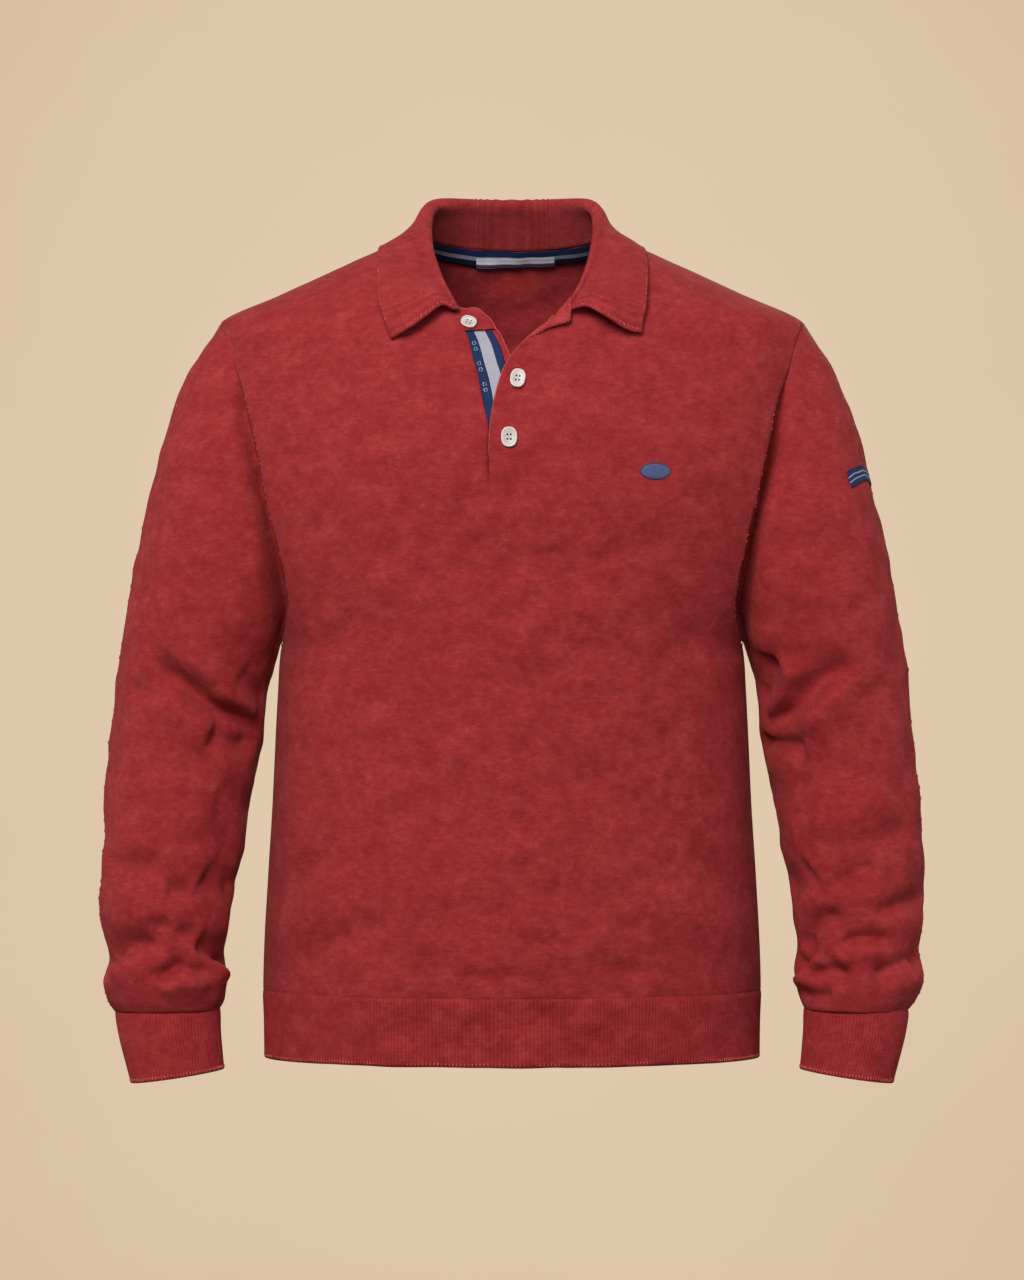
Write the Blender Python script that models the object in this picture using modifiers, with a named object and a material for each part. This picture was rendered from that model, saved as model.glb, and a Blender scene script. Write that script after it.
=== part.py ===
"""A knitted polo sweater, filled out as if worn, with nobody in it.

World axes: +Z is up, the front faces -Y and the wearer's left is +X. The origin is at the
neck, on the level of the high points of the shoulders, where a wearer's neck and shoulders
hold the garment up. Sizes are in metres.
"""
import math
from collections import namedtuple

import bmesh
import bpy
from mathutils import Matrix, Vector

# ---- driving dimensions -------------------------------------------------------------------
CLOTH_WALL = 0.0020          # the body's and sleeves' single knit
RIB_WALL = 0.0026            # hem and cuffs, a thicker 1x1 rib
COLLAR_WALL = 0.0022
TAPE_WALL = 0.0005           # woven tapes and labels
SEAM_GAP = 0.0003            # left between neighbours that are sewn together
RIB_JOIN_GAP = 0.00045       # left above the hem rib, whose edge is thicker than the panels'

SHOULDER_POINT = (0.0860, 0.0120)    # across and up, where the shoulder meets the collar
SHOULDER_TIP = (0.2490, -0.0630)     # where the shoulder meets the sleeve
UNDERARM_HEIGHT = -0.3350
RIB_TOP_HEIGHT = -0.6340
HEM_HEIGHT = -0.6930
SLIT_ACROSS = -0.0196        # the placket's slit lies a little to the wearer's right
SLIT_END_HEIGHT = -0.2000
SIDE_TRIM = 0.0006           # taken off each panel along the side seams
SHOULDER_TRIM = 0.0013       # and along the shoulder seams
BACK_NECK_DIP = 0.0080       # from the shoulder points to the back neckline's middle

SLEEVE_STAND_OFF = 0.0021    # how far a sleeve's first ring lies from the armhole's edge
ARMHOLE_RINGS = 5            # the rings over which the armhole's own shape fades out
FOLD_RUN_ON = 0.25           # how far a fold fades out past its ends, in shares of its length

COLLAR_RISE = 0.0025         # from the panels' neckline up to the collar's seam edge
COLLAR_INSET = 0.0012        # and in towards the neck
COLLAR_LEAF_SWELL = 0.0060   # how far the leaf's middle stands off a straight line

TAPE_DEPTH = CLOTH_WALL / 2 + SEAM_GAP + TAPE_WALL / 2       # a tape on a panel's face
STAND_DEPTH = CLOTH_WALL + TAPE_WALL + 2 * SEAM_GAP          # the button stand below the front
STAND_LAP = 0.0060           # how far the button stand runs on beneath the front's edge
STAND_BOTTOM_HEIGHT = -0.1985
STAND_STEP_HEIGHT = -0.0790  # where the stand begins to rise to the flap that carries button 1
FLAP_HEIGHT = -0.0765        # from here up the flap is level with the front
FLAP_TOP_HEIGHT = -0.0577
TAPE_GAP = 0.0006            # between the tape and the front's edge beside it
TAPE_EDGE_SHARE = 0.80       # the tape covers this share of the stand that shows
TAPE_TOP_HEIGHT = -0.0797
TAPE_END_HEIGHT = -0.1540
NECK_TAPE_REACH = 0.0700     # half its length, from side to side
NECK_TAPE_HEIGHT = 0.0115
NECK_TAPE_DROP = 0.0012      # from the back neckline down to its top
NECK_TAPE_DEPTH = TAPE_DEPTH + 0.0012
NECK_LABEL_REACH = 0.0345
NECK_LABEL_HEIGHT = 0.0080
NECK_LABEL_DROP = 0.0030
NECK_LABEL_DEPTH = NECK_TAPE_DEPTH + TAPE_WALL + 2 * SEAM_GAP
BADGE_PLACE = (0.1195, -0.1940)
BADGE_HALF = (0.0118, 0.0065)
SLEEVE_LABEL_ANGLES = (0.0, 45.0)        # degrees round the sleeve, as for its folds
SLEEVE_LABEL_RINGS = (4.75, 4.925, 5.10)     # down the sleeve

BUTTON_LIFT = 0.0003         # between the cloth and a button's flat back
BUTTON_WIDTH = 0.0125
BUTTON_LENGTH = 0.0158
BUTTON_THICKNESS = 0.0026
BUTTON_RIM = 0.0011
BUTTON_DISH = 0.0006
BUTTON_HOLE_RADIUS = 0.0009
BUTTON_HOLE_SPACING = 0.0017

# ---- tables -------------------------------------------------------------------------------
# The body's form, from the hem to the shoulder points: half its width, and how far the front
# and the back stand out from the side seams.
BodySection = namedtuple("BodySection", "height half_width front back")
BODY_SECTIONS = (
    BodySection(-0.7000, 0.2112, 0.1260, 0.1150),
    BodySection(-0.6600, 0.2118, 0.1290, 0.1170),
    BodySection(-0.6300, 0.2128, 0.1330, 0.1190),
    BodySection(-0.5900, 0.2116, 0.1350, 0.1190),
    BodySection(-0.5400, 0.2088, 0.1350, 0.1160),
    BodySection(-0.4800, 0.2050, 0.1335, 0.1120),
    BodySection(-0.4100, 0.2018, 0.1325, 0.1120),
    BodySection(-0.3600, 0.1992, 0.1330, 0.1160),
    BodySection(-0.3350, 0.1985, 0.1340, 0.1190),
    BodySection(-0.3050, 0.2110, 0.1355, 0.1220),
    BodySection(-0.2600, 0.2280, 0.1375, 0.1260),
    BodySection(-0.2150, 0.2420, 0.1390, 0.1280),
    BodySection(-0.1700, 0.2510, 0.1360, 0.1280),
    BodySection(-0.1250, 0.2560, 0.1260, 0.1240),
    BodySection(-0.0900, 0.2560, 0.1150, 0.1170),
    BodySection(-0.0630, 0.2490, 0.1045, 0.1080),
    BodySection(-0.0400, 0.1989, 0.0910, 0.0990),
    BodySection(-0.0200, 0.1552, 0.0750, 0.0890),
    BodySection(0.0000, 0.1114, 0.0560, 0.0765),
    BodySection(0.0120, 0.0860, 0.0430, 0.0660),
    BodySection(0.0200, 0.0690, 0.0330, 0.0560),
)

# The armhole seam as seen from the front, from the underarm to the shoulder tip.
ARMHOLE = (
    (0.1985, UNDERARM_HEIGHT),
    (0.1915, -0.3050),
    (0.2000, -0.2590),
    (0.2105, -0.2170),
    (0.2175, -0.1787),
    (0.2300, -0.1237),
    (0.2405, -0.0850),
    SHOULDER_TIP,
)

# The neckline's two halves as seen from the front, from the placket to the shoulder point.
NECKLINE_RIGHT = (
    (-0.0430, -0.0640),
    (-0.0485, -0.0628),
    (-0.0610, -0.0495),
    (-0.0740, -0.0320),
    (-0.0825, -0.0110),
    (-0.0860, 0.0120),
)
NECKLINE_LEFT = (
    (0.0480, -0.0622),
    (0.0610, -0.0503),
    (0.0740, -0.0320),
    (0.0825, -0.0110),
    (0.0860, 0.0120),
)

# The placket's two edges above the slit's end, up to the neckline, and the button stand's free
# edge from its bottom to the flap's rounded top.
UNDER_EDGE = (
    (SLIT_ACROSS, SLIT_END_HEIGHT),
    (-0.0194, -0.1760),
    (-0.0195, -0.1550),
    (-0.0236, -0.1380),
    (-0.0274, -0.1168),
    (-0.0311, -0.1034),
    (-0.0359, -0.0841),
    (-0.0391, -0.0761),
    (-0.0430, -0.0640),
)
OVER_EDGE = (
    (SLIT_ACROSS, SLIT_END_HEIGHT),
    (-0.0194, -0.1850),
    (-0.0187, -0.1590),
    (-0.0157, -0.1376),
    (-0.0113, -0.1203),
    (-0.0064, -0.1066),
    (0.0020, -0.0935),
    (0.0146, -0.0808),
    (0.0277, -0.0711),
    (0.0403, -0.0650),
    (0.0480, -0.0622),
)
STAND_EDGE = (
    (0.0010, STAND_BOTTOM_HEIGHT),
    (0.0005, -0.1340),
    (-0.0017, -0.0969),
    (-0.0049, -0.0889),
    (-0.0097, -0.0792),
    (-0.0139, -0.0739),
    (-0.0155, -0.0701),
    (-0.0188, -0.0654),
    (-0.0241, -0.0606),
    (-0.0284, FLAP_TOP_HEIGHT),
)

# The sleeve's rings, from the armhole to the cuff: the outer and the inner point of each as
# seen from the front, how far forward its middle lies, and its depth each way from there.
SleeveRing = namedtuple("SleeveRing", "outer_x outer_z inner_x inner_z middle_y front back")
SLEEVE_RINGS = (
    SleeveRing(0.2502, -0.0634, 0.2002, -0.3322, 0.000, 0.0640, 0.0600),
    SleeveRing(0.2640, -0.0850, 0.2034, -0.3348, 0.000, 0.0610, 0.0590),
    SleeveRing(0.2769, -0.1060, 0.2046, -0.3410, 0.001, 0.0620, 0.0600),
    SleeveRing(0.2890, -0.1330, 0.2060, -0.3500, 0.002, 0.0650, 0.0620),
    SleeveRing(0.2992, -0.1670, 0.2076, -0.3600, 0.002, 0.0670, 0.0630),
    SleeveRing(0.3095, -0.2080, 0.2096, -0.3720, 0.002, 0.0670, 0.0630),
    SleeveRing(0.3195, -0.2500, 0.2120, -0.3870, 0.002, 0.0660, 0.0620),
    SleeveRing(0.3290, -0.3010, 0.2142, -0.4050, 0.002, 0.0640, 0.0610),
    SleeveRing(0.3360, -0.3500, 0.2165, -0.4260, 0.001, 0.0610, 0.0600),
    SleeveRing(0.3413, -0.3950, 0.2198, -0.4480, -0.001, 0.0580, 0.0580),
    SleeveRing(0.3447, -0.4330, 0.2240, -0.4700, -0.004, 0.0560, 0.0560),
    SleeveRing(0.3482, -0.4710, 0.2290, -0.4950, -0.008, 0.0540, 0.0540),
    SleeveRing(0.3502, -0.5070, 0.2340, -0.5210, -0.012, 0.0520, 0.0520),
    SleeveRing(0.3512, -0.5410, 0.2384, -0.5480, -0.016, 0.0500, 0.0500),
    SleeveRing(0.3510, -0.5700, 0.2420, -0.5730, -0.020, 0.0480, 0.0480),
    SleeveRing(0.3462, -0.5980, 0.2446, -0.5980, -0.023, 0.0455, 0.0455),
    SleeveRing(0.3498, -0.6220, 0.2428, -0.6210, -0.026, 0.0465, 0.0465),
    SleeveRing(0.3450, -0.6400, 0.2452, -0.6390, -0.028, 0.0430, 0.0430),
    SleeveRing(0.3378, -0.6515, 0.2500, -0.6500, -0.029, 0.0385, 0.0385),
)
CUFF_RINGS = (
    SleeveRing(0.3376, -0.6521, 0.2501, -0.6506, -0.029, 0.0385, 0.0385),
    SleeveRing(0.3340, -0.6740, 0.2500, -0.6690, -0.031, 0.0370, 0.0370),
    SleeveRing(0.3290, -0.6930, 0.2486, -0.6850, -0.033, 0.0355, 0.0355),
    SleeveRing(0.3236, -0.7125, 0.2470, -0.7010, -0.035, 0.0345, 0.0345),
)

# The collar at stations from the centre back to its front end, on the wearer's left; the
# right mirrors them. Its seam and its free edge are given as seen from the front (face -1) or
# the back (face 1) of the body, the edge also by its height off the cloth; its fold is a point.
CollarStation = namedtuple("CollarStation", "face seam_x seam_z fold edge_x edge_z edge_lift turn")
COLLAR_STATIONS = (
    CollarStation(1, 0.0000, 0.0040, (0.0000, 0.0800, 0.0470), 0.0000, -0.0100, 0.0042, 0.0034),
    CollarStation(1, 0.0400, 0.0057, (0.0390, 0.0745, 0.0470), 0.0470, -0.0105, 0.0042, 0.0034),
    CollarStation(1, 0.0700, 0.0093, (0.0640, 0.0500, 0.0455), 0.0860, -0.0080, 0.0042, 0.0034),
    CollarStation(1, 0.0830, 0.0115, (0.0735, 0.0220, 0.0400), 0.1050, -0.0008, 0.0042, 0.0034),
    CollarStation(-1, 0.0857, 0.0090, (0.0740, -0.0120, 0.0265), 0.1128, -0.0035, 0.0040, 0.0034),
    CollarStation(-1, 0.0838, -0.0040, (0.0722, -0.0400, 0.0080), 0.1130, -0.0150, 0.0042, 0.0032),
    CollarStation(-1, 0.0795, -0.0190, (0.0680, -0.0620, -0.0105), 0.1115, -0.0290, 0.0055, 0.0028),
    CollarStation(-1, 0.0720, -0.0350, (0.0610, -0.0815, -0.0295), 0.1090, -0.0430, 0.0070, 0.0024),
    CollarStation(-1, 0.0605, -0.0485, (0.0535, -0.0975, -0.0440), 0.1062, -0.0600, 0.0085, 0.0020),
    CollarStation(-1, 0.0480, -0.0598, (0.0465, -0.1060, -0.0560), 0.1025, -0.0817, 0.0080, 0.0016),
)

# The largest folds in the front, the back and the sleeves. A fold runs from one point to
# another, in metres across and up; rise is its height, below zero for a trough, and spread
# is half its width.
Fold = namedtuple("Fold", "from_x from_z to_x to_z rise spread")
FRONT_FOLDS = (
    Fold(-0.1480, -0.2900, -0.2000, -0.5450, 0.0040, 0.0170),
    Fold(-0.1370, -0.3050, -0.1700, -0.3900, -0.0030, 0.0120),
    Fold(-0.1450, -0.5350, -0.2080, -0.5980, 0.0050, 0.0150),
    Fold(-0.1550, -0.5120, -0.2060, -0.5620, -0.0050, 0.0120),
    Fold(-0.0950, -0.5630, -0.2000, -0.6180, -0.0040, 0.0140),
    Fold(0.1150, -0.2850, 0.1950, -0.4200, -0.0030, 0.0150),
    Fold(0.1600, -0.5150, 0.2080, -0.5600, -0.0065, 0.0130),
    Fold(0.1350, -0.5500, 0.2000, -0.5950, 0.0040, 0.0160),
    Fold(-0.1100, -0.2680, 0.1250, -0.2700, -0.0018, 0.0220),
)
BACK_FOLDS = (
    Fold(-0.1100, -0.2600, -0.1850, -0.4000, -0.0035, 0.0150),
    Fold(0.1250, -0.2500, 0.1900, -0.3900, -0.0040, 0.0160),
    Fold(-0.0300, -0.4700, -0.1700, -0.5250, -0.0040, 0.0160),
    Fold(0.0500, -0.4500, 0.1850, -0.5150, -0.0045, 0.0150),
    Fold(-0.0900, -0.5500, 0.1100, -0.5650, 0.0040, 0.0180),
    Fold(-0.0700, -0.1300, 0.0800, -0.1350, -0.0025, 0.0250),
)
# On a sleeve a fold's first number of each pair is the angle round it, from 0 at its outer
# side through 90 at the front to 180 at the inner side and 270 at the back.
RIGHT_SLEEVE_FOLDS = (
    Fold(50.0, -0.3650, 190.0, -0.4200, -0.0095, 0.0120),
    Fold(40.0, -0.4000, 170.0, -0.4380, 0.0050, 0.0130),
    Fold(200.0, -0.3950, 320.0, -0.4300, -0.0060, 0.0130),
    Fold(40.0, -0.5480, 130.0, -0.5560, -0.0035, 0.0100),
    Fold(-20.0, -0.6000, 70.0, -0.5850, -0.0060, 0.0095),
    Fold(70.0, -0.6120, 200.0, -0.5880, -0.0060, 0.0100),
    Fold(200.0, -0.5700, 330.0, -0.5950, -0.0060, 0.0110),
    Fold(-40.0, -0.4900, 60.0, -0.5200, 0.0030, 0.0130),
)
LEFT_SLEEVE_FOLDS = (
    Fold(55.0, -0.3600, 185.0, -0.4080, -0.0090, 0.0120),
    Fold(60.0, -0.4000, 160.0, -0.4300, 0.0055, 0.0140),
    Fold(190.0, -0.4000, 310.0, -0.4150, -0.0055, 0.0130),
    Fold(30.0, -0.5340, 130.0, -0.5500, -0.0050, 0.0105),
    Fold(10.0, -0.5760, 150.0, -0.5980, -0.0060, 0.0100),
    Fold(20.0, -0.6180, 130.0, -0.6150, -0.0045, 0.0090),
    Fold(200.0, -0.5850, 340.0, -0.5700, -0.0060, 0.0110),
    Fold(-30.0, -0.6050, 40.0, -0.6000, -0.0040, 0.0095),
)

# ---- mesh density -------------------------------------------------------------------------
FRONT_COLUMNS_RIGHT = 11
FRONT_COLUMNS_LEFT = 13
FRONT_NECK_COLUMNS = 5       # of those, how many end on the neckline
BACK_COLUMNS = 10            # on each half
BACK_NECK_COLUMNS = 5
BODY_ROWS = 9                # from the rib to the underarm
ROWS_TO_SLIT = 4             # from the underarm to the slit's end
ROWS_ABOVE_SLIT = 8
ROW_CROWDING = 1.45
SLEEVE_SIDES = 16
COLLAR_STEPS = 2             # stations made between two of the table's
CURVE_STEPS = 12

COLOURS = {
    "knit": (0.300, 0.022, 0.026, 1.0),
    "rib": (0.270, 0.020, 0.024, 1.0),
    "navy": (0.012, 0.022, 0.075, 1.0),
    "pale": (0.420, 0.430, 0.480, 1.0),
    "blue": (0.050, 0.085, 0.240, 1.0),
    "button": (0.680, 0.650, 0.610, 1.0),
}


# ---- curves and the form ------------------------------------------------------------------
def cubic(before, start, end, after, part):
    """A smooth curve's value between start and end, with its neighbours on each side."""
    a = 2.0 * start
    b = end - before
    c = 2.0 * before - 5.0 * start + 4.0 * end - after
    d = 3.0 * start - before - 3.0 * end + after
    return 0.5 * (a + b * part + c * part ** 2 + d * part ** 3)


def table_value(table, column, height):
    """A column of a table at a height, on a cubic whose slopes the neighbours set."""
    rows = sorted(table, key=lambda row: row.height)
    height = min(max(height, rows[0].height), rows[-1].height)
    index = 0
    while index < len(rows) - 2 and rows[index + 1].height < height:
        index += 1
    low, high = rows[index], rows[index + 1]
    span = high.height - low.height
    part = (height - low.height) / span

    def slope(at):
        left = rows[max(at - 1, 0)]
        right = rows[min(at + 1, len(rows) - 1)]
        return (getattr(right, column) - getattr(left, column)) / (right.height - left.height)

    rise_low = slope(index) * span
    rise_high = slope(index + 1) * span
    start, end = getattr(low, column), getattr(high, column)
    square, cube = part ** 2, part ** 3
    return ((2 * cube - 3 * square + 1) * start + (cube - 2 * square + part) * rise_low
            + (3 * square - 2 * cube) * end + (cube - square) * rise_high)


def smooth_path(points):
    """Many points on a smooth curve through a few."""
    points = [Vector(point) for point in points]
    ends = [2 * points[0] - points[1]] + points + [2 * points[-1] - points[-2]]
    path = []
    for index in range(1, len(ends) - 2):
        for step in range(CURVE_STEPS):
            path.append(cubic(*ends[index - 1:index + 3], step / CURVE_STEPS))
    path.append(points[-1])
    return path


def spread_along(points, count, shares=None):
    """count + 1 points along a smooth curve, evenly apart or at the given shares of it."""
    path = smooth_path(points)
    lengths = [0.0]
    for before, after in zip(path, path[1:]):
        lengths.append(lengths[-1] + (after - before).length)
    placed = []
    index = 0
    for step in range(count + 1):
        target = lengths[-1] * (shares[step] if shares else step / count)
        while index < len(path) - 2 and lengths[index + 1] < target:
            index += 1
        part = (target - lengths[index]) / (lengths[index + 1] - lengths[index])
        placed.append(path[index].lerp(path[index + 1], part))
    return placed


def fold_lift(folds, x, z, turn=1.0):
    """How far the folds push the cloth out at a point; turn converts x to metres."""
    lift = 0.0
    for fold in folds:
        run = Vector(((fold.to_x - fold.from_x) * turn, fold.to_z - fold.from_z))
        reach = Vector(((x - fold.from_x) * turn, z - fold.from_z))
        along = reach.dot(run) / run.length_squared
        beside = abs(reach.x * run.y - reach.y * run.x) / run.length
        if -FOLD_RUN_ON < along < 1 + FOLD_RUN_ON:
            fade = math.sin(math.pi * (along + FOLD_RUN_ON) / (1 + 2 * FOLD_RUN_ON)) ** 2
            lift += fold.rise * fade * math.exp(-(beside / fold.spread) ** 2)
    return lift


def body_point(x, z, face, lift=0.0):
    """A point on the body's front (face -1) or back (face 1), moved out by lift."""
    depth_column = "front" if face < 0 else "back"
    width = table_value(BODY_SECTIONS, "half_width", z)
    depth = table_value(BODY_SECTIONS, depth_column, z)
    inside = max(1.0 - (x / width) ** 2, 0.0)
    y = face * depth * math.sqrt(inside)
    step = 0.001
    width_slope = (table_value(BODY_SECTIONS, "half_width", z + step) - width) / step
    depth_slope = (table_value(BODY_SECTIONS, depth_column, z + step) - depth) / step
    outward = Vector((x / width ** 2, y / depth ** 2,
                      -x ** 2 * width_slope / width ** 3 - y ** 2 * depth_slope / depth ** 3))
    outward.normalize()
    folds = FRONT_FOLDS if face < 0 else BACK_FOLDS
    flat = Vector((x, y, z))
    return flat + outward * (lift + fold_lift(folds, x, z) * math.sqrt(inside))


# ---- building -----------------------------------------------------------------------------
def clear_scene():
    """Empty the file that the script runs in."""
    for item in list(bpy.data.objects):
        bpy.data.objects.remove(item, do_unlink=True)


def make_material(name, roughness=0.9):
    """A plain material in one of the sweater's colours."""
    material = bpy.data.materials.new(name)
    material.use_nodes = True
    shader = material.node_tree.nodes["Principled BSDF"]
    shader.inputs["Base Color"].default_value = COLOURS[name]
    shader.inputs["Roughness"].default_value = roughness
    shader.inputs["Metallic"].default_value = 0.0
    return material


def add_object(name, mesh, material):
    """Put a mesh in the sweater's collection, shaded smooth."""
    mesh.materials.append(MATERIALS[material])
    mesh.shade_smooth()
    item = bpy.data.objects.new(name, mesh)
    SWEATER.objects.link(item)
    return item


def cloth(name, grids, wall, material, tube=False):
    """Cloth of one thickness on one or more grids of points, joined where they meet."""
    shape = bmesh.new()
    for grid in grids:
        rows = [[shape.verts.new(point) for point in row] for row in grid]
        for lower, upper in zip(rows, rows[1:]):
            sides = len(lower) if tube else len(lower) - 1
            for index in range(sides):
                after = (index + 1) % len(lower)
                shape.faces.new((lower[index], lower[after], upper[after], upper[index]))
    bmesh.ops.remove_doubles(shape, verts=shape.verts, dist=0.00001)
    bmesh.ops.recalc_face_normals(shape, faces=shape.faces)
    mesh = bpy.data.meshes.new(name)
    shape.to_mesh(mesh)
    shape.free()
    item = add_object(name, mesh, material)
    thicken = item.modifiers.new("wall", "SOLIDIFY")
    thicken.thickness = wall
    thicken.offset = 0.0
    thicken.use_even_offset = False
    thicken.use_rim = True
    return item


def fill_between(bottom, top, inner, outer):
    """A grid of points whose four borders are the given rows of points."""
    columns = len(bottom) - 1
    rows = len(inner) - 1
    grid = []
    for row in range(rows + 1):
        v = row / rows
        line = []
        for column in range(columns + 1):
            u = column / columns
            across = bottom[column] * (1 - v) + top[column] * v
            along = inner[row] * (1 - u) + outer[row] * u
            corners = (bottom[0] * (1 - u) * (1 - v) + bottom[-1] * u * (1 - v)
                       + top[0] * (1 - u) * v + top[-1] * u * v)
            line.append(across + along - corners)
        grid.append(line)
    return grid


def body_row(height, start_x, side, columns):
    """Points across half the body at one height, from start_x to the side seam."""
    width = table_value(BODY_SECTIONS, "half_width", height)
    first = math.asin(side * start_x / width)
    row = []
    for column in range(columns + 1):
        angle = first + (math.pi / 2 - first) * column / columns
        row.append(Vector((side * width * math.sin(angle), height)))
    return row


def half_panel(side, start_x, columns, neck_columns, inner, neckline, row_heights):
    """One half of a panel as rows of (across, up) points, from the rib to the shoulder."""
    rows = [body_row(height, start_x, side, columns) for height in row_heights]
    armhole = [Vector((side * x, z)) for x, z in ARMHOLE]
    outer = spread_along(armhole, len(inner) - 1, ROW_SHARES)
    neck = spread_along(neckline, neck_columns)
    shoulder = []
    for step in range(1, columns - neck_columns + 1):
        share = step / (columns - neck_columns)
        height = SHOULDER_POINT[1] + (SHOULDER_TIP[1] - SHOULDER_POINT[1]) * share
        width = table_value(BODY_SECTIONS, "half_width", height)
        shoulder.append(Vector((side * width, height)))
    bottom = body_row(UNDERARM_HEIGHT, start_x, side, columns)
    rows += fill_between(bottom, neck + shoulder, inner, outer)
    return rows


def evenly(low, high, count):
    """count values from low up to, but not including, high."""
    return [low + (high - low) * step / count for step in range(count)]


# The rows above the underarm lie closer together towards the shoulder, where the form turns.
ROWS_ABOVE_UNDERARM = ROWS_TO_SLIT + ROWS_ABOVE_SLIT
ROW_SHARES = [1 - (1 - row / ROWS_ABOVE_UNDERARM) ** ROW_CROWDING
              for row in range(ROWS_ABOVE_UNDERARM + 1)]
SLIT_SHARES = [(share - ROW_SHARES[ROWS_TO_SLIT]) / (1 - ROW_SHARES[ROWS_TO_SLIT])
               for share in ROW_SHARES[ROWS_TO_SLIT:]]


clear_scene()
SWEATER = bpy.data.collections.new("polo_sweater")
CUTTERS = bpy.data.collections.new("cutters")
bpy.context.scene.collection.children.link(SWEATER)
bpy.context.scene.collection.children.link(CUTTERS)
MATERIALS = {name: make_material(name) for name in COLOURS}
MATERIALS["button"].node_tree.nodes["Principled BSDF"].inputs["Roughness"].default_value = 0.35


# ---- front and back -----------------------------------------------------------------------
def front_panel():
    """The front in one piece, slit from the neckline down to the placket's end."""
    heights = evenly(RIB_TOP_HEIGHT, UNDERARM_HEIGHT, BODY_ROWS)
    below_slit = [Vector((SLIT_ACROSS, height))
                  for height in evenly(UNDERARM_HEIGHT, SLIT_END_HEIGHT, ROWS_TO_SLIT)]
    halves = (
        (-1, FRONT_COLUMNS_RIGHT, UNDER_EDGE, NECKLINE_RIGHT),
        (1, FRONT_COLUMNS_LEFT, OVER_EDGE, NECKLINE_LEFT),
    )
    grids = []
    for side, columns, edge, neckline in halves:
        inner = below_slit + spread_along(edge, ROWS_ABOVE_SLIT, SLIT_SHARES)
        flat = half_panel(side, SLIT_ACROSS, columns, FRONT_NECK_COLUMNS, inner, neckline, heights)
        for index in range(len(heights) + ROWS_TO_SLIT + 1, len(flat)):
            flat[index][0] = flat[index][0] + Vector((side * SEAM_GAP, 0.0))
        grids.append(body_grid(flat, -1))
    return cloth("front_panel", grids, CLOTH_WALL, "knit")


def body_grid(flat, face):
    """Rows of (across, up) points raised onto the body, a little short of its seams."""
    grid = []
    for row in flat:
        points = [body_point(point.x, point.y, face) for point in row]
        points[-1].y += face * SIDE_TRIM
        grid.append(points)
    for point in grid[-1]:
        if abs(point.y) < SHOULDER_TRIM:
            point.y = face * SHOULDER_TRIM
    return grid


def back_panel():
    """The back in one piece, two halves met at its middle."""
    heights = evenly(RIB_TOP_HEIGHT, UNDERARM_HEIGHT, BODY_ROWS)
    neck_x, neck_z = SHOULDER_POINT
    grids = []
    for side in (-1, 1):
        neckline = [(side * neck_x * part, neck_z - BACK_NECK_DIP * (1 - part ** 2))
                    for part in (0.0, 0.3, 0.6, 0.85, 1.0)]
        bottom, top = UNDERARM_HEIGHT, neckline[0][1]
        inner = [Vector((0.0, bottom + (top - bottom) * share)) for share in ROW_SHARES]
        flat = half_panel(side, 0.0, BACK_COLUMNS, BACK_NECK_COLUMNS, inner, neckline, heights)
        grids.append(body_grid(flat, 1))
    return cloth("back_panel", grids, CLOTH_WALL, "knit")


def hem_band(name, face):
    """Half of the rib round the hem, from one side seam to the other."""
    rows = []
    for height in (HEM_HEIGHT, (HEM_HEIGHT + RIB_TOP_HEIGHT) / 2, RIB_TOP_HEIGHT - RIB_JOIN_GAP):
        right = body_row(height, 0.0, -1, BACK_COLUMNS)
        left = body_row(height, 0.0, 1, BACK_COLUMNS)
        row = [body_point(flat.x, flat.y, face) for flat in right[:0:-1] + left]
        row[0].y += face * SIDE_TRIM
        row[-1].y += face * SIDE_TRIM
        rows.append(row)
    return cloth(name, [rows], RIB_WALL, "rib")


# ---- sleeves and cuffs --------------------------------------------------------------------
def ring_points(ring, side, folds):
    """The points round one ring of a sleeve or a cuff."""
    outer = Vector((side * ring.outer_x, ring.middle_y, ring.outer_z))
    inner = Vector((side * ring.inner_x, ring.middle_y, ring.inner_z))
    middle = (outer + inner) / 2
    points = []
    for step in range(SLEEVE_SIDES):
        angle = 2 * math.pi * step / SLEEVE_SIDES
        depth = ring.front if step < SLEEVE_SIDES / 2 else ring.back
        arm = (outer - middle) * math.cos(angle) + Vector((0.0, -depth * math.sin(angle), 0.0))
        point = middle + arm
        degrees = math.degrees(angle)
        metres_per_degree = math.radians(depth)
        lift = sum(fold_lift(folds, degrees + wrap, point.z, metres_per_degree)
                   for wrap in (-360.0, 0.0, 360.0))
        points.append(point + arm.normalized() * lift)
    return points


def armhole_shift(side):
    """From the first ring's own ellipse to the armhole seam, at each point round it."""
    ring = SLEEVE_RINGS[0]
    armhole = smooth_path([Vector(point) for point in ARMHOLE])
    shifts = []
    for step, point in enumerate(ring_points(ring, side, ())):
        angle = 2 * math.pi * step / SLEEVE_SIDES
        face = -1 if math.sin(angle) > 0 else 1
        height = UNDERARM_HEIGHT + (SHOULDER_TIP[1] - UNDERARM_HEIGHT) * (1 + math.cos(angle)) / 2
        nearest = min(armhole, key=lambda seam: abs(seam.y - height))
        on_body = body_point(side * nearest.x, height, face)
        if abs(math.sin(angle)) < 0.01:
            on_body = Vector((point.x, 0.0, point.z))
        else:
            on_body.x += side * SLEEVE_STAND_OFF
            on_body.z += SLEEVE_STAND_OFF * (1 - math.cos(angle)) / 2
        shifts.append(on_body - point)
    return shifts


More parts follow.
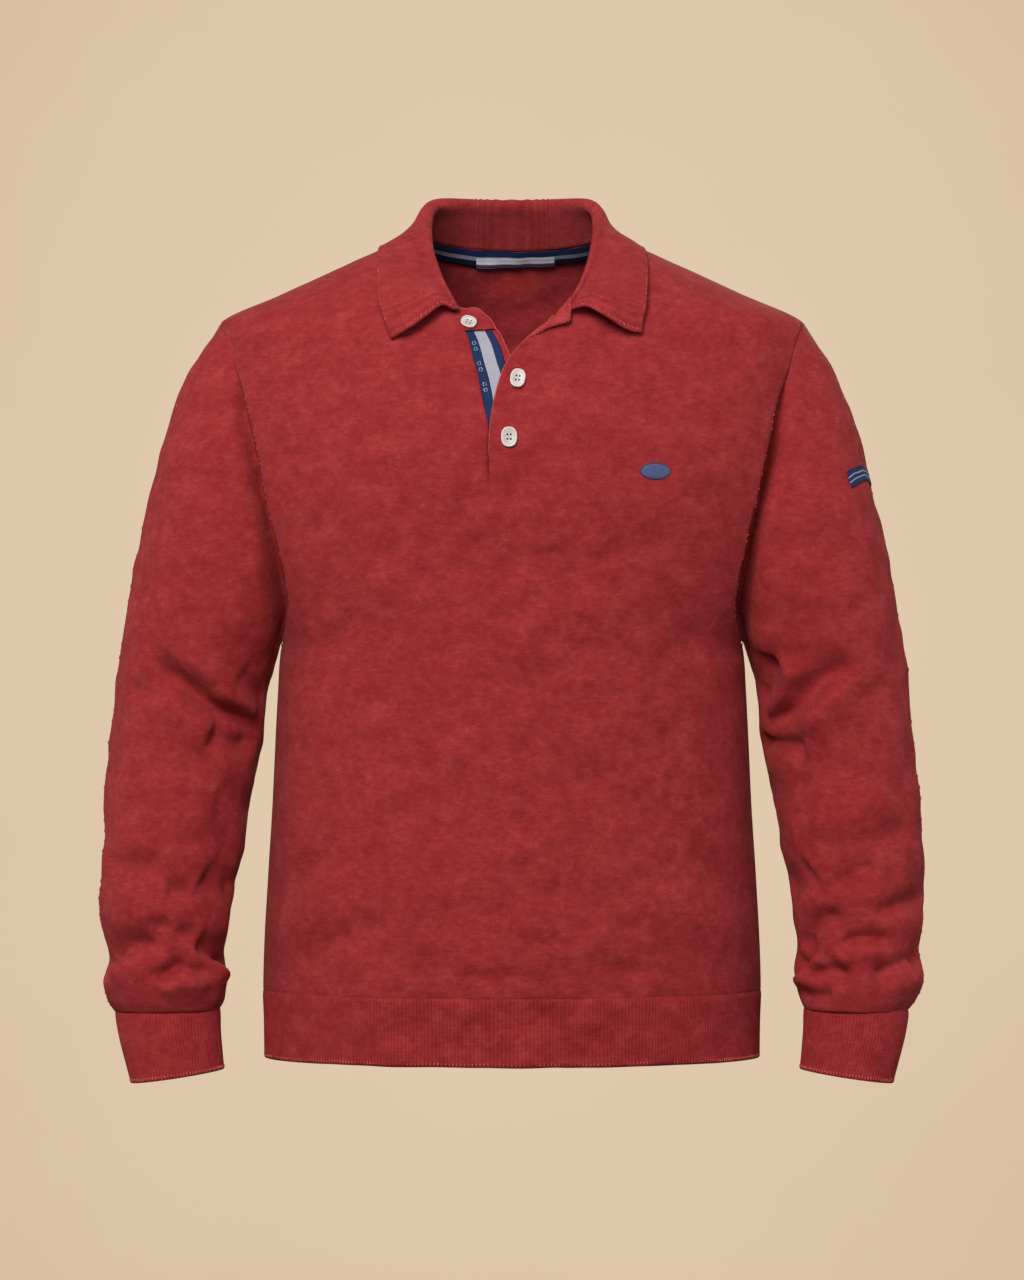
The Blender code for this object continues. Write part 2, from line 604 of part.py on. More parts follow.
def sleeve(name, side, folds):
    """A set-in sleeve, from the armhole seam down to the cuff."""
    shifts = armhole_shift(side)
    rows = []
    for index, ring in enumerate(SLEEVE_RINGS):
        share = max(1.0 - index / ARMHOLE_RINGS, 0.0)
        points = ring_points(ring, side, folds)
        rows.append([point + shift * share for point, shift in zip(points, shifts)])
    return cloth(name, [rows], CLOTH_WALL, "knit", tube=True)


def cuff(name, side):
    """A rib cuff, a tube on the sleeve's end."""
    rows = [ring_points(ring, side, ()) for ring in CUFF_RINGS]
    return cloth(name, [rows], RIB_WALL, "rib", tube=True)


# ---- collar -------------------------------------------------------------------------------
def smooth_stations(points):
    """The stations' points with COLLAR_STEPS made smoothly between each two."""
    ends = [2 * points[0] - points[1]] + points + [2 * points[-1] - points[-2]]
    made = []
    for index in range(1, len(ends) - 2):
        for step in range(COLLAR_STEPS):
            made.append(cubic(*ends[index - 1:index + 3], step / COLLAR_STEPS))
    made.append(points[-1])
    return made


def collar_section(seam, fold, edge, turn):
    """The points across the collar: up its stand, over its fold and down its leaf."""
    away = edge - seam
    away.z = 0.0
    away.normalize()
    down = Vector((0.0, 0.0, -1.0))
    inner = fold + away * (-turn) + down * turn
    outer = fold + away * turn + down * turn
    lean = seam.lerp(inner, 0.5)
    swell = (edge - outer).cross(Vector((-away.y, away.x, 0.0))).normalized()
    if swell.dot(away) < 0:
        swell = -swell
    leaf = [outer.lerp(edge, part) + swell * (COLLAR_LEAF_SWELL * math.sin(math.pi * part))
            for part in (0.33, 0.67)]
    return [seam, lean, inner, fold, outer] + leaf + [edge]


def collar():
    """The collar, one band of fine rib folded over all round."""
    half = COLLAR_STATIONS
    full = [(-1, station) for station in half[:0:-1]] + [(1, station) for station in half]
    seams = []
    folds = []
    edges = []
    for side, station in full:
        seam = body_point(side * station.seam_x, station.seam_z, station.face)
        inward = Vector((-seam.x, -seam.y, 0.0)).normalized()
        seams.append(seam + inward * COLLAR_INSET + Vector((0.0, 0.0, COLLAR_RISE)))
        folds.append(Vector((side * station.fold[0], station.fold[1], station.fold[2])))
        edges.append(body_point(side * station.edge_x, station.edge_z, station.face,
                                station.edge_lift))
    lines = [smooth_stations(points) for points in (seams, folds, edges)]
    turns = smooth_stations([Vector((station.turn, 0.0, 0.0)) for side, station in full])
    rows = [collar_section(seam, fold, edge, turn.x)
            for seam, fold, edge, turn in zip(*lines, turns)]
    return cloth("collar", [rows], COLLAR_WALL, "rib")


# ---- placket, tapes and trims ---------------------------------------------------------------

def strip(name, left, right, face, lifts, wall, material, columns=4):
    """A strip on the body between two edges of (across, up) points, each row with its lift."""
    rows = []
    for start, end, lift in zip(left, right, lifts):
        rows.append([body_point(*start.lerp(end, column / columns), face, lift)
                     for column in range(columns + 1)])
    return cloth(name, [rows], wall, material)


def edge_at(edge, height):
    """Where across the body an edge lies at a height."""
    nearest = min(smooth_path(edge), key=lambda point: abs(point.y - height))
    return nearest.x


def placket_under():
    """The button stand, which laps under the front, and above it the flap level with it."""
    left = []
    right = []
    lifts = []
    for height in evenly(STAND_BOTTOM_HEIGHT, STAND_STEP_HEIGHT, 6):
        left.append(Vector((edge_at(UNDER_EDGE, height) - STAND_LAP, height)))
        right.append(Vector((edge_at(STAND_EDGE, height), height)))
        lifts.append(-STAND_DEPTH)
    beside = 2 * SEAM_GAP
    flap_rise = FLAP_TOP_HEIGHT - FLAP_HEIGHT
    for height, lift in ((STAND_STEP_HEIGHT, -STAND_DEPTH), (FLAP_HEIGHT, 0.0),
                         (FLAP_HEIGHT + flap_rise * 0.33, 0.0),
                         (FLAP_HEIGHT + flap_rise * 0.67, 0.0), (FLAP_TOP_HEIGHT, 0.0)):
        left.append(Vector((edge_at(UNDER_EDGE, height) + beside, height)))
        right.append(Vector((edge_at(STAND_EDGE, height), height)))
        lifts.append(lift)
    return strip("placket_under", left, right, -1, lifts, CLOTH_WALL, "knit")


def placket_tape():
    """The striped tape on the button stand, from below the first button."""
    rows = 8
    left = []
    right = []
    for height in evenly(TAPE_END_HEIGHT, TAPE_TOP_HEIGHT, rows) + [TAPE_TOP_HEIGHT]:
        start = edge_at(UNDER_EDGE, height) + TAPE_GAP
        stop = min(edge_at(STAND_EDGE, height), edge_at(OVER_EDGE, height) - TAPE_GAP)
        left.append(Vector((start, height)))
        right.append(Vector((start + (stop - start) * TAPE_EDGE_SHARE, height)))
    lifts = [TAPE_DEPTH - STAND_DEPTH] * len(left)
    return strip("placket_tape", left, right, -1, lifts, TAPE_WALL, "navy", columns=3)


def neck_strip(name, reach, drop, height, depth, material, columns):
    """A band along the inside of the back neckline."""
    neck_z = SHOULDER_POINT[1]
    top = []
    bottom = []
    for step in range(columns + 1):
        across = reach * (2 * step / columns - 1)
        rise = neck_z - BACK_NECK_DIP * (1 - (across / SHOULDER_POINT[0]) ** 2)
        top.append(Vector((across, rise - drop)))
        bottom.append(Vector((across, rise - drop - height)))
    return strip(name, bottom, top, 1, [-depth] * len(top), TAPE_WALL, material, columns=2)


def chest_badge():
    """A small embroidered oval on the wearer's left of the chest."""
    sides = 16
    rings = []
    for share in (0.35, 1.0):
        ring = []
        for step in range(sides):
            angle = 2 * math.pi * step / sides
            ring.append(body_point(BADGE_PLACE[0] + BADGE_HALF[0] * share * math.cos(angle),
                                   BADGE_PLACE[1] + BADGE_HALF[1] * share * math.sin(angle),
                                   -1, TAPE_DEPTH))
        rings.append(ring)
    middle = body_point(*BADGE_PLACE, -1, TAPE_DEPTH)
    shape = bmesh.new()
    inner, outer = [[shape.verts.new(point) for point in ring] for ring in rings]
    centre = shape.verts.new(middle)
    for index in range(len(inner)):
        after = (index + 1) % len(inner)
        shape.faces.new((centre, inner[index], inner[after]))
        shape.faces.new((inner[index], outer[index], outer[after], inner[after]))
    bmesh.ops.recalc_face_normals(shape, faces=shape.faces)
    mesh = bpy.data.meshes.new("chest_badge")
    shape.to_mesh(mesh)
    shape.free()
    item = add_object("chest_badge", mesh, "blue")
    thicken = item.modifiers.new("wall", "SOLIDIFY")
    thicken.thickness = TAPE_WALL
    thicken.offset = 0.0
    return item


def sleeve_point(place, degrees, side, folds, lift):
    """A point on a sleeve, at a place between two rings, moved out by lift."""
    index = int(place)
    part = place - index
    shifts = armhole_shift(side)

    def on_ring(number, step):
        share = max(1.0 - number / ARMHOLE_RINGS, 0.0)
        points = ring_points(SLEEVE_RINGS[number], side, folds)
        step = step % SLEEVE_SIDES
        low = int(step)
        high = (low + 1) % SLEEVE_SIDES
        along = step - low
        start = points[low] + shifts[low] * share
        end = points[high] + shifts[high] * share
        return start.lerp(end, along)

    step = degrees / 360.0 * SLEEVE_SIDES
    here = on_ring(index, step).lerp(on_ring(index + 1, step), part)
    beside = on_ring(index, step + 0.5).lerp(on_ring(index + 1, step + 0.5), part)
    other = on_ring(index, step - 0.5).lerp(on_ring(index + 1, step - 0.5), part)
    down = on_ring(index + 1, step) - on_ring(index, step)
    outward = (beside - other).cross(down) * side
    if outward.x * side < 0 and abs(degrees) < 90:
        outward = -outward
    return here + outward.normalized() * lift


def sleeve_label():
    """A woven label sewn to the outside of the wearer's left sleeve."""
    low, high = SLEEVE_LABEL_ANGLES
    columns = 4
    rows = []
    for place in SLEEVE_LABEL_RINGS:
        rows.append([sleeve_point(place, low + (high - low) * column / columns, 1,
                                  LEFT_SLEEVE_FOLDS, TAPE_DEPTH + SEAM_GAP)
                     for column in range(columns + 1)])
    return cloth("sleeve_label", [rows], TAPE_WALL, "navy")


# ---- buttons ------------------------------------------------------------------------------
Button = namedtuple("Button", "name x z tilt")
BUTTONS = (
    Button("button_1", -0.0361, -0.0695, 68.0),
    Button("button_2", 0.0042, -0.1165, -8.0),
    Button("button_3", -0.0026, -0.1662, 0.0),
)


def button_blank(name):
    """A turned button, dished inside its rim, before its holes."""
    radius = BUTTON_LENGTH / 2
    top = BUTTON_THICKNESS / 2
    profile = (
        (0.0, top - BUTTON_DISH),
        (radius - 2 * BUTTON_RIM, top - BUTTON_DISH),
        (radius - 1.3 * BUTTON_RIM, top),
        (radius - 0.5 * BUTTON_RIM, top),
        (radius, top * 0.25),
        (radius * 0.86, -top),
        (0.0, -top),
    )
    mesh = bpy.data.meshes.new(name)
    edges = [(index, index + 1) for index in range(len(profile) - 1)]
    mesh.from_pydata([(x, 0.0, z) for x, z in profile], edges, [])
    blank = add_object(name, mesh, "button")
    turn = blank.modifiers.new("turn", "SCREW")
    turn.axis = "Z"
    turn.steps = 14
    turn.render_steps = 14
    turn.use_merge_vertices = True
    turn.merge_threshold = 0.00005
    turn.use_smooth_shade = False
    return blank


def hole_cutter(name):
    """Four pins that cut the button's holes, in one mesh."""
    shape = bmesh.new()
    for across in (-BUTTON_HOLE_SPACING, BUTTON_HOLE_SPACING):
        for along in (-BUTTON_HOLE_SPACING, BUTTON_HOLE_SPACING):
            place = Matrix.Translation((across, along, 0.0))
            bmesh.ops.create_cone(shape, cap_ends=True, segments=6, radius1=BUTTON_HOLE_RADIUS,
                                  radius2=BUTTON_HOLE_RADIUS, depth=BUTTON_THICKNESS * 2, matrix=place)
    mesh = bpy.data.meshes.new(name)
    shape.to_mesh(mesh)
    shape.free()
    pins = bpy.data.objects.new(name, mesh)
    pins.hide_render = True
    pins.display_type = "WIRE"
    CUTTERS.objects.link(pins)
    return pins


def add_button(button, pins):
    """An oval button lying on the front."""
    blank = button_blank(button.name)
    holes = blank.modifiers.new("holes", "BOOLEAN")
    holes.operation = "DIFFERENCE"
    holes.object = pins
    bpy.context.view_layer.update()
    evaluated = blank.evaluated_get(bpy.context.evaluated_depsgraph_get())
    mesh = bpy.data.meshes.new_from_object(evaluated)
    narrow = Matrix.Diagonal((BUTTON_WIDTH / BUTTON_LENGTH, 1.0, 1.0, 1.0))
    lift = CLOTH_WALL / 2 + BUTTON_LIFT + BUTTON_THICKNESS / 2
    centre = body_point(button.x, button.z, -1, lift)
    outward = (centre - body_point(button.x, button.z, -1)).normalized()
    up = Vector((0.0, 0.0, 1.0))
    along = (up - outward * up.dot(outward)).normalized()
    across = along.cross(outward)
    stand = Matrix((across, along, outward)).transposed().to_4x4()
    spin = Matrix.Rotation(math.radians(button.tilt), 4, "Z")
    mesh.transform(Matrix.Translation(centre) @ stand @ spin @ narrow)
    mesh.name = button.name
    blank.modifiers.clear()
    blank.data = mesh
    return blank


front_panel()
back_panel()
hem_band("hem_front", -1)
hem_band("hem_back", 1)
sleeve("sleeve_right", -1, RIGHT_SLEEVE_FOLDS)
sleeve("sleeve_left", 1, LEFT_SLEEVE_FOLDS)
cuff("cuff_right", -1)
cuff("cuff_left", 1)
collar()
placket_under()
placket_tape()
neck_strip("neck_tape", NECK_TAPE_REACH, NECK_TAPE_DROP, NECK_TAPE_HEIGHT, NECK_TAPE_DEPTH,
           "navy", 14)
neck_strip("neck_label", NECK_LABEL_REACH, NECK_LABEL_DROP, NECK_LABEL_HEIGHT, NECK_LABEL_DEPTH,
           "pale", 8)
chest_badge()
sleeve_label()
BUTTON_PINS = hole_cutter("button_holes")
for shown in BUTTONS:
    add_button(shown, BUTTON_PINS)
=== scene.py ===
"""The looks of a knitted polo sweater, filled out as if worn, with nobody in it.

Axes and sizes are the frame's: +Z is up, the front faces -Y, the wearer's left is +X, metres.
"""

import math

import bmesh
import bpy
import numpy as np
from mathutils import Matrix, Vector


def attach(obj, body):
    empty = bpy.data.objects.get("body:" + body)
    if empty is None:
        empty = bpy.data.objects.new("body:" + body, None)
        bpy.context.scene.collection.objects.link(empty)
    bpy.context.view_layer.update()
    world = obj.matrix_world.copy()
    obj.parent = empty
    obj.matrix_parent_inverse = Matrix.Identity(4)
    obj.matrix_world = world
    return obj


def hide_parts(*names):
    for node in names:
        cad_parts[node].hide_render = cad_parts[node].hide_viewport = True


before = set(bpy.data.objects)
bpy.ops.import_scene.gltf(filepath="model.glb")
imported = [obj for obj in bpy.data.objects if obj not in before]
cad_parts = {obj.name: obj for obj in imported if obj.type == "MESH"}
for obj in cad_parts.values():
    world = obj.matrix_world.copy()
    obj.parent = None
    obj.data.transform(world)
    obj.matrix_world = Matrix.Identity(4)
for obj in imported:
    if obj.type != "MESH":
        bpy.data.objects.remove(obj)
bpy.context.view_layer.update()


# ---- the studio ---------------------------------------------------------------------------
# A plain sand-coloured room: a round floor that turns up into its wall, far behind the
# sweater on every side, a large soft light above the camera, and a little light all round.
# The room glows in its own colour, with a painted pool of light: paler in the middle of the
# wall and dimmer towards its rim.
CAMERA_PLACE = (0.0, -4.5, -0.3353)
CAMERA_LENS = 147.2
FLOOR_HEIGHT = -6.00
ROOM_RADIUS = 9.0
ROOM_CURVE = 2.5
ROOM_TOP = 8.0
WALL_PAINTED_BRIGHT = (0.755, 0.588, 0.420)
WALL_PAINTED_DIM = (0.640, 0.478, 0.325)
ROOM_LIGHT = (1.000, 0.930, 0.870)


def add_camera():
    """The photograph's own view: level, straight on, from far enough to flatten the form."""
    lens = bpy.data.cameras.new("camera")
    lens.lens = CAMERA_LENS
    lens.clip_end = 100.0
    camera = bpy.data.objects.new("camera", lens)
    camera.location = CAMERA_PLACE
    camera.rotation_euler = (math.radians(90.0), 0.0, 0.0)
    bpy.context.scene.collection.objects.link(camera)
    bpy.context.scene.camera = camera


def add_lamp(name, place, size, power, colour, target=(0.0, 0.0, -0.35)):
    """A square soft box at a place, turned towards the sweater."""
    lamp = bpy.data.lights.new(name, "AREA")
    lamp.size = size
    lamp.energy = power
    lamp.color = colour
    box = bpy.data.objects.new(name, lamp)
    box.location = place
    aim = Vector(target) - Vector(place)
    box.rotation_euler = aim.to_track_quat("-Z", "Y").to_euler()
    bpy.context.scene.collection.objects.link(box)


def node(tree, kind, settings=None, inputs=None):
    """A shader node, with its settings and with each input either a value or a link."""
    made = tree.nodes.new(kind)
    for key, value in (settings or {}).items():
        setattr(made, key, value)
    for key, value in (inputs or {}).items():
        if isinstance(value, bpy.types.NodeSocket):
            tree.links.new(value, made.inputs[key])
        else:
            made.inputs[key].default_value = value
    return made


def add_room():
    """The floor and wall in one turned surface, glowing, with a painted pool of light that is paler
    in the middle of the wall.
    """
    profile = [(0.0, FLOOR_HEIGHT), (ROOM_RADIUS - ROOM_CURVE, FLOOR_HEIGHT)]
    for step in range(1, 13):
        angle = math.pi / 2 * step / 12
        profile.append((ROOM_RADIUS - ROOM_CURVE * (1 - math.sin(angle)),
                        FLOOR_HEIGHT + ROOM_CURVE * (1 - math.cos(angle))))
    profile.append((ROOM_RADIUS, ROOM_TOP))
    shape = bmesh.new()
    line = [shape.verts.new((x, 0.0, z)) for x, z in profile]
    edges = [shape.edges.new(pair) for pair in zip(line, line[1:])]
    bmesh.ops.spin(shape, geom=line + edges, axis=(0, 0, 1), cent=(0, 0, 0), steps=72,
                   angle=math.tau, use_merge=True)
    mesh = bpy.data.meshes.new("room")
    shape.to_mesh(mesh)
    shape.free()
    mesh.shade_smooth()
    paint = bpy.data.materials.new("room_glow_painted_light")
    paint.use_nodes = True
    tree = paint.node_tree
    tree.nodes.clear()
    place = node(tree, "ShaderNodeTexCoord").outputs["Object"]
    squeeze = node(tree, "ShaderNodeMapping", None,
                   {"Vector": place, "Location": (0.0, 0.0, 0.10), "Scale": (0.46, 0.0, 0.36)})
    reach = node(tree, "ShaderNodeVectorMath", {"operation": "LENGTH"},
                 {0: squeeze.outputs["Vector"]})
    cloud = node(tree, "ShaderNodeTexNoise", None, {"Vector": place, "Scale": 1.6, "Detail": 3.0})
    drift = node(tree, "ShaderNodeMath", {"operation": "MULTIPLY_ADD"},
                 {0: cloud.outputs["Fac"], 1: 0.22, 2: reach.outputs["Value"]})
    # Painted light: the glow fades from the pale middle of the wall to its dimmer rim, as if a lamp
    # lit the middle.
    fade = node(tree, "ShaderNodeMapRange", {"interpolation_type": "SMOOTHSTEP"},
                {"Value": drift.outputs["Value"], "From Min": 0.35, "From Max": 1.45})
    tone = node(tree, "ShaderNodeMix", {"data_type": "RGBA"},
                {"Factor": fade.outputs["Result"], "A": (*WALL_PAINTED_BRIGHT, 1.0),
                 "B": (*WALL_PAINTED_DIM, 1.0)})
    glow = node(tree, "ShaderNodeEmission", None, {"Color": tone.outputs["Result"]})
    node(tree, "ShaderNodeOutputMaterial", None, {"Surface": glow.outputs["Emission"]})
    mesh.materials.append(paint)
    room = bpy.data.objects.new("room", mesh)
    bpy.context.scene.collection.objects.link(room)
    room.visible_diffuse = False
    room.visible_glossy = False
    room.visible_transmission = False
    room.visible_shadow = False


add_camera()
add_lamp("key_light", (-0.9, -3.5, 2.15), 1.9, 166.0, (1.0, 0.955, 0.920))
add_lamp("fill_light", (0.9, -4.2, 0.5), 2.4, 26.0, (1.0, 0.960, 0.930))
add_lamp("left_light", (3.2, 0.1, 0.5), 2.0, 27.0, (1.0, 0.960, 0.930))
add_lamp("right_light", (-3.2, 0.1, 0.5), 2.0, 27.0, (1.0, 0.960, 0.930))
add_lamp("back_light", (0.8, 3.8, 1.8), 2.8, 70.0, (1.0, 0.955, 0.920))
add_room()
bpy.context.scene.view_settings.view_transform = "Standard"
world = bpy.data.worlds.new("room_light")
world.use_nodes = True
world.node_tree.nodes["Background"].inputs["Color"].default_value = (*ROOM_LIGHT, 1.0)
world.node_tree.nodes["Background"].inputs["Strength"].default_value = 0.13
bpy.context.scene.world = world


# ---- the front ----------------------------------------------------------------------------
# One piece of fine single knit in a red melange wool, slit from the neckline down for the
# placket. Its left side laps over the right, and the lapping edge is linked with a lighter yarn.
CLOTH_WALL = 0.0020
SHOULDER_POINT = (0.0860, 0.0120)
SHOULDER_TIP = (0.2490, -0.0630)
UNDERARM_HEIGHT = -0.3350
SLIT_ACROSS = -0.0196
SLIT_END_HEIGHT = -0.2000
SEAM_GAP = 0.0003
SIDE_TRIM = 0.0006
SHOULDER_TRIM = 0.0013

# The body's form, from the hem up: height, half its width, and how far its front and its back
# stand out from the side seams.
BODY_FORM = np.array((
    (-0.7000, 0.2112, 0.1260, 0.1150),
    (-0.6600, 0.2118, 0.1290, 0.1170),
    (-0.6300, 0.2128, 0.1330, 0.1190),
    (-0.5900, 0.2116, 0.1350, 0.1190),
    (-0.5400, 0.2088, 0.1350, 0.1160),
    (-0.4800, 0.2050, 0.1335, 0.1120),
    (-0.4100, 0.2018, 0.1325, 0.1120),
    (-0.3600, 0.1992, 0.1330, 0.1160),
    (-0.3350, 0.1985, 0.1340, 0.1190),
    (-0.3050, 0.2110, 0.1355, 0.1220),
    (-0.2600, 0.2280, 0.1375, 0.1260),
    (-0.2150, 0.2420, 0.1390, 0.1280),
    (-0.1700, 0.2510, 0.1360, 0.1280),
    (-0.1250, 0.2560, 0.1260, 0.1240),
    (-0.0900, 0.2560, 0.1150, 0.1170),
    (-0.0630, 0.2490, 0.1045, 0.1080),
    (-0.0400, 0.1989, 0.0910, 0.0990),
    (-0.0200, 0.1552, 0.0750, 0.0890),
    (0.0000, 0.1114, 0.0560, 0.0765),
    (0.0120, 0.0860, 0.0430, 0.0660),
    (0.0200, 0.0690, 0.0330, 0.0560),
))
HALF_WIDTH = 1
FRONT_DEPTH = 2
BACK_DEPTH = 3
ARMHOLE = (
    (0.1985, UNDERARM_HEIGHT),
    (0.1915, -0.3050),
    (0.2000, -0.2590),
    (0.2105, -0.2170),
    (0.2175, -0.1787),
    (0.2300, -0.1237),
    (0.2405, -0.0850),
    SHOULDER_TIP,
)
NECKLINE_RIGHT = (
    (-0.0430, -0.0572),
    (-0.0485, -0.0598),
    (-0.0610, -0.0495),
    (-0.0740, -0.0320),
    (-0.0825, -0.0110),
    (-0.0860, 0.0120),
)
NECKLINE_LEFT = (
    (0.0480, -0.0622),
    (0.0610, -0.0503),
    (0.0740, -0.0320),
    (0.0825, -0.0110),
    (0.0860, 0.0120),
)
UNDER_EDGE = (
    (SLIT_ACROSS, SLIT_END_HEIGHT),
    (-0.0194, -0.1760),
    (-0.0195, -0.1550),
    (-0.0236, -0.1380),
    (-0.0274, -0.1168),
    (-0.0311, -0.1034),
    (-0.0359, -0.0841),
    (-0.0391, -0.0761),
    (-0.0418, -0.0660),
    (-0.0430, -0.0572),
)
OVER_EDGE = (
    (SLIT_ACROSS, SLIT_END_HEIGHT),
    (-0.0194, -0.1850),
    (-0.0187, -0.1590),
    (-0.0157, -0.1376),
    (-0.0113, -0.1203),
    (-0.0064, -0.1066),
    (0.0020, -0.0935),
    (0.0146, -0.0808),
    (0.0277, -0.0711),
    (0.0403, -0.0650),
    (0.0480, -0.0622),
)
# The creases, each from one point to another across and up, with its height (below zero for
# a trough) and half its width.
FOLD_DEPTH = 1.5             # of the heights below, all over the body
FRONT_FOLDS = (
    (-0.1480, -0.2900, -0.2000, -0.5450, 0.0040, 0.0170),
    (-0.1370, -0.3050, -0.1700, -0.3900, -0.0030, 0.0120),
    (-0.1450, -0.5350, -0.2080, -0.5980, 0.0050, 0.0150),
    (-0.1550, -0.5120, -0.2060, -0.5620, -0.0050, 0.0120),
    (-0.0950, -0.5630, -0.2000, -0.6180, -0.0040, 0.0140),
    (0.1150, -0.2850, 0.1950, -0.4200, -0.0030, 0.0150),
    (0.1600, -0.5150, 0.2080, -0.5600, -0.0065, 0.0130),
    (0.1350, -0.5500, 0.2000, -0.5950, 0.0040, 0.0160),
    (-0.1100, -0.2680, 0.1250, -0.2700, -0.0018, 0.0220),
    (-0.1250, -0.2150, -0.1850, -0.3000, 0.0016, 0.0130),
    (0.1350, -0.2000, 0.1850, -0.3150, 0.0020, 0.0140),
    (-0.0600, -0.6130, 0.0400, -0.6180, -0.0014, 0.0070),
    (0.0700, -0.6080, 0.1500, -0.6190, -0.0018, 0.0080),
    (0.0300, -0.4200, 0.1400, -0.5050, -0.0016, 0.0200),
    (-0.1200, -0.4300, -0.0300, -0.5000, -0.0014, 0.0220),
    (-0.0500, -0.2250, -0.0180, -0.3050, -0.0016, 0.0100),
)
RIGHT_COLUMNS = 84
LEFT_COLUMNS = 96
NECK_SHARE = 0.42            # of a panel's columns, how many end on its neckline
BODY_ROWS = 92
ROWS_TO_SLIT = 42
ROWS_ABOVE_SLIT = 56
ROW_CROWDING = 1.45
PANEL_EDGE_HEIGHTS = (-0.6354, -0.6350, -0.6345, -0.6338)
EDGE_CURL = 0.0004           # how far the bottom edge turns in over the rib
OVERLAP_LIFT = 0.0014        # the lapping edge stands this much higher than the cloth beneath
OVERLAP_REACH = 0.0110
SLIT_DIP = 0.0034            # the cloth beside the slit dips in, from the tape's end down
SLIT_DIP_REACH = 0.0052
TAPE_END_HEIGHT = -0.1540
ARMHOLE_ROLL = 0.0085        # how far each panel's edge rolls in along the armhole
ARMHOLE_ROLL_REACH = 0.0021

KNIT_RED = (0.330, 0.0262, 0.0300)
KNIT_DUSTY = (0.455, 0.0560, 0.0620)
KNIT_DEEP = (0.235, 0.0130, 0.0170)
STITCH_WIDTH = 0.00150
STITCH_HEIGHT = 0.00118


def form_at(column, height):
    """One column of the body's form at many heights, on cubics through the table's rows."""
    z = BODY_FORM[:, 0]
    v = BODY_FORM[:, column]
    height = np.clip(height, z[0], z[-1])
    low = np.clip(np.searchsorted(z, height) - 1, 0, len(z) - 2)
    before = np.maximum(np.arange(len(z)) - 1, 0)
    after = np.minimum(np.arange(len(z)) + 1, len(z) - 1)
    slope = (v[after] - v[before]) / (z[after] - z[before])
    span = z[low + 1] - z[low]
    part = (height - z[low]) / span
    square, cube = part ** 2, part ** 3
    return ((2 * cube - 3 * square + 1) * v[low] + (cube - 2 * square + part) * slope[low] * span
            + (3 * square - 2 * cube) * v[low + 1] + (cube - square) * slope[low + 1] * span)


def fold_lift(folds, x, z, turn=1.0):
    """How far the creases push the cloth out at many points; turn converts x to metres."""
    lift = np.zeros(np.broadcast(x, z).shape)
    for from_x, from_z, to_x, to_z, rise, spread in folds:
        run_x = (to_x - from_x) * turn
        run_z = to_z - from_z
        reach_x = (x - from_x) * turn
        reach_z = z - from_z
        square = run_x ** 2 + run_z ** 2
        along = (reach_x * run_x + reach_z * run_z) / square
        beside = (reach_x * run_z - reach_z * run_x) / np.sqrt(square)
        fade = np.sin(np.pi * (np.clip(along, -0.25, 1.25) + 0.25) / 1.5) ** 2
        lift = lift + rise * fade * np.exp(-(beside / spread) ** 2)
    return lift


def slack(x, z, seed):
    """The small unevenness that loose knit keeps between its creases."""
    chance = np.random.default_rng(seed)
    lift = np.zeros(np.broadcast(x, z).shape)
    for length, height in ((0.085, 0.00050), (0.050, 0.00034), (0.031, 0.00022), (0.019, 0.00012)):
        for _ in range(4):
            heading = chance.uniform(0.0, math.pi)
            start = chance.uniform(0.0, math.tau)
            wave = (x * math.cos(heading) + z * math.sin(heading)) * math.tau / length
            lift = lift + height * np.sin(wave + start)
    return lift


def on_body(x, z, face, lift=0.0):
    """Points on the body's front (face -1) or back (face 1), moved out by lift."""
    x, z = np.broadcast_arrays(np.asarray(x, float), np.asarray(z, float))
    depth_column = FRONT_DEPTH if face < 0 else BACK_DEPTH
    width = form_at(HALF_WIDTH, z)
    depth = form_at(depth_column, z)
    inside = np.clip(1.0 - (x / width) ** 2, 0.0, None)
    y = face * depth * np.sqrt(inside)
    step = 0.001
    width_slope = (form_at(HALF_WIDTH, z + step) - width) / step
    depth_slope = (form_at(depth_column, z + step) - depth) / step
    outward = np.stack((x / width ** 2, y / depth ** 2,
                        -x ** 2 * width_slope / width ** 3 - y ** 2 * depth_slope / depth ** 3), -1)
    outward /= np.linalg.norm(outward, axis=-1, keepdims=True)
    folds = FRONT_FOLDS if face < 0 else BACK_FOLDS
    creases = FOLD_DEPTH * fold_lift(folds, x, z) + slack(x, z, 11 if face < 0 else 23)
    push = lift + creases * np.sqrt(inside)
    return np.stack((x, y, z), -1) + outward * push[..., None]


def smooth_path(points, steps=12):
    """Many points on a smooth curve through a few, in two or three numbers each."""
    points = np.asarray(points, float)
    ends = np.vstack((2 * points[0] - points[1], points, 2 * points[-1] - points[-2]))
    part = (np.arange(steps) / steps)[:, None]
    path = []
    for before, start, end, after in zip(ends, ends[1:], ends[2:], ends[3:]):
        path.append(0.5 * (2 * start + (end - before) * part
                           + (2 * before - 5 * start + 4 * end - after) * part ** 2
                           + (3 * start - before - 3 * end + after) * part ** 3))
    return np.vstack(path + [points[-1:]])


def spread_along(points, shares):
    """Points along a smooth curve, at the given shares of its length."""
    path = smooth_path(points)
    lengths = np.concatenate(([0.0], np.cumsum(np.linalg.norm(np.diff(path, axis=0), axis=1))))
    targets = np.asarray(shares) * lengths[-1]
    return np.stack([np.interp(targets, lengths, axis) for axis in path.T], -1)


def fill_between(bottom, top, inner, outer):
    """A grid of points whose four borders are the given rows of points."""
    u = np.linspace(0, 1, len(bottom))[None, :, None]
    v = np.linspace(0, 1, len(inner))[:, None, None]
    across = bottom[None] * (1 - v) + top[None] * v
    along = inner[:, None] * (1 - u) + outer[:, None] * u
    corners = (bottom[0] * (1 - u) * (1 - v) + bottom[-1] * u * (1 - v)
               + top[0] * (1 - u) * v + top[-1] * u * v)
    return across + along - corners


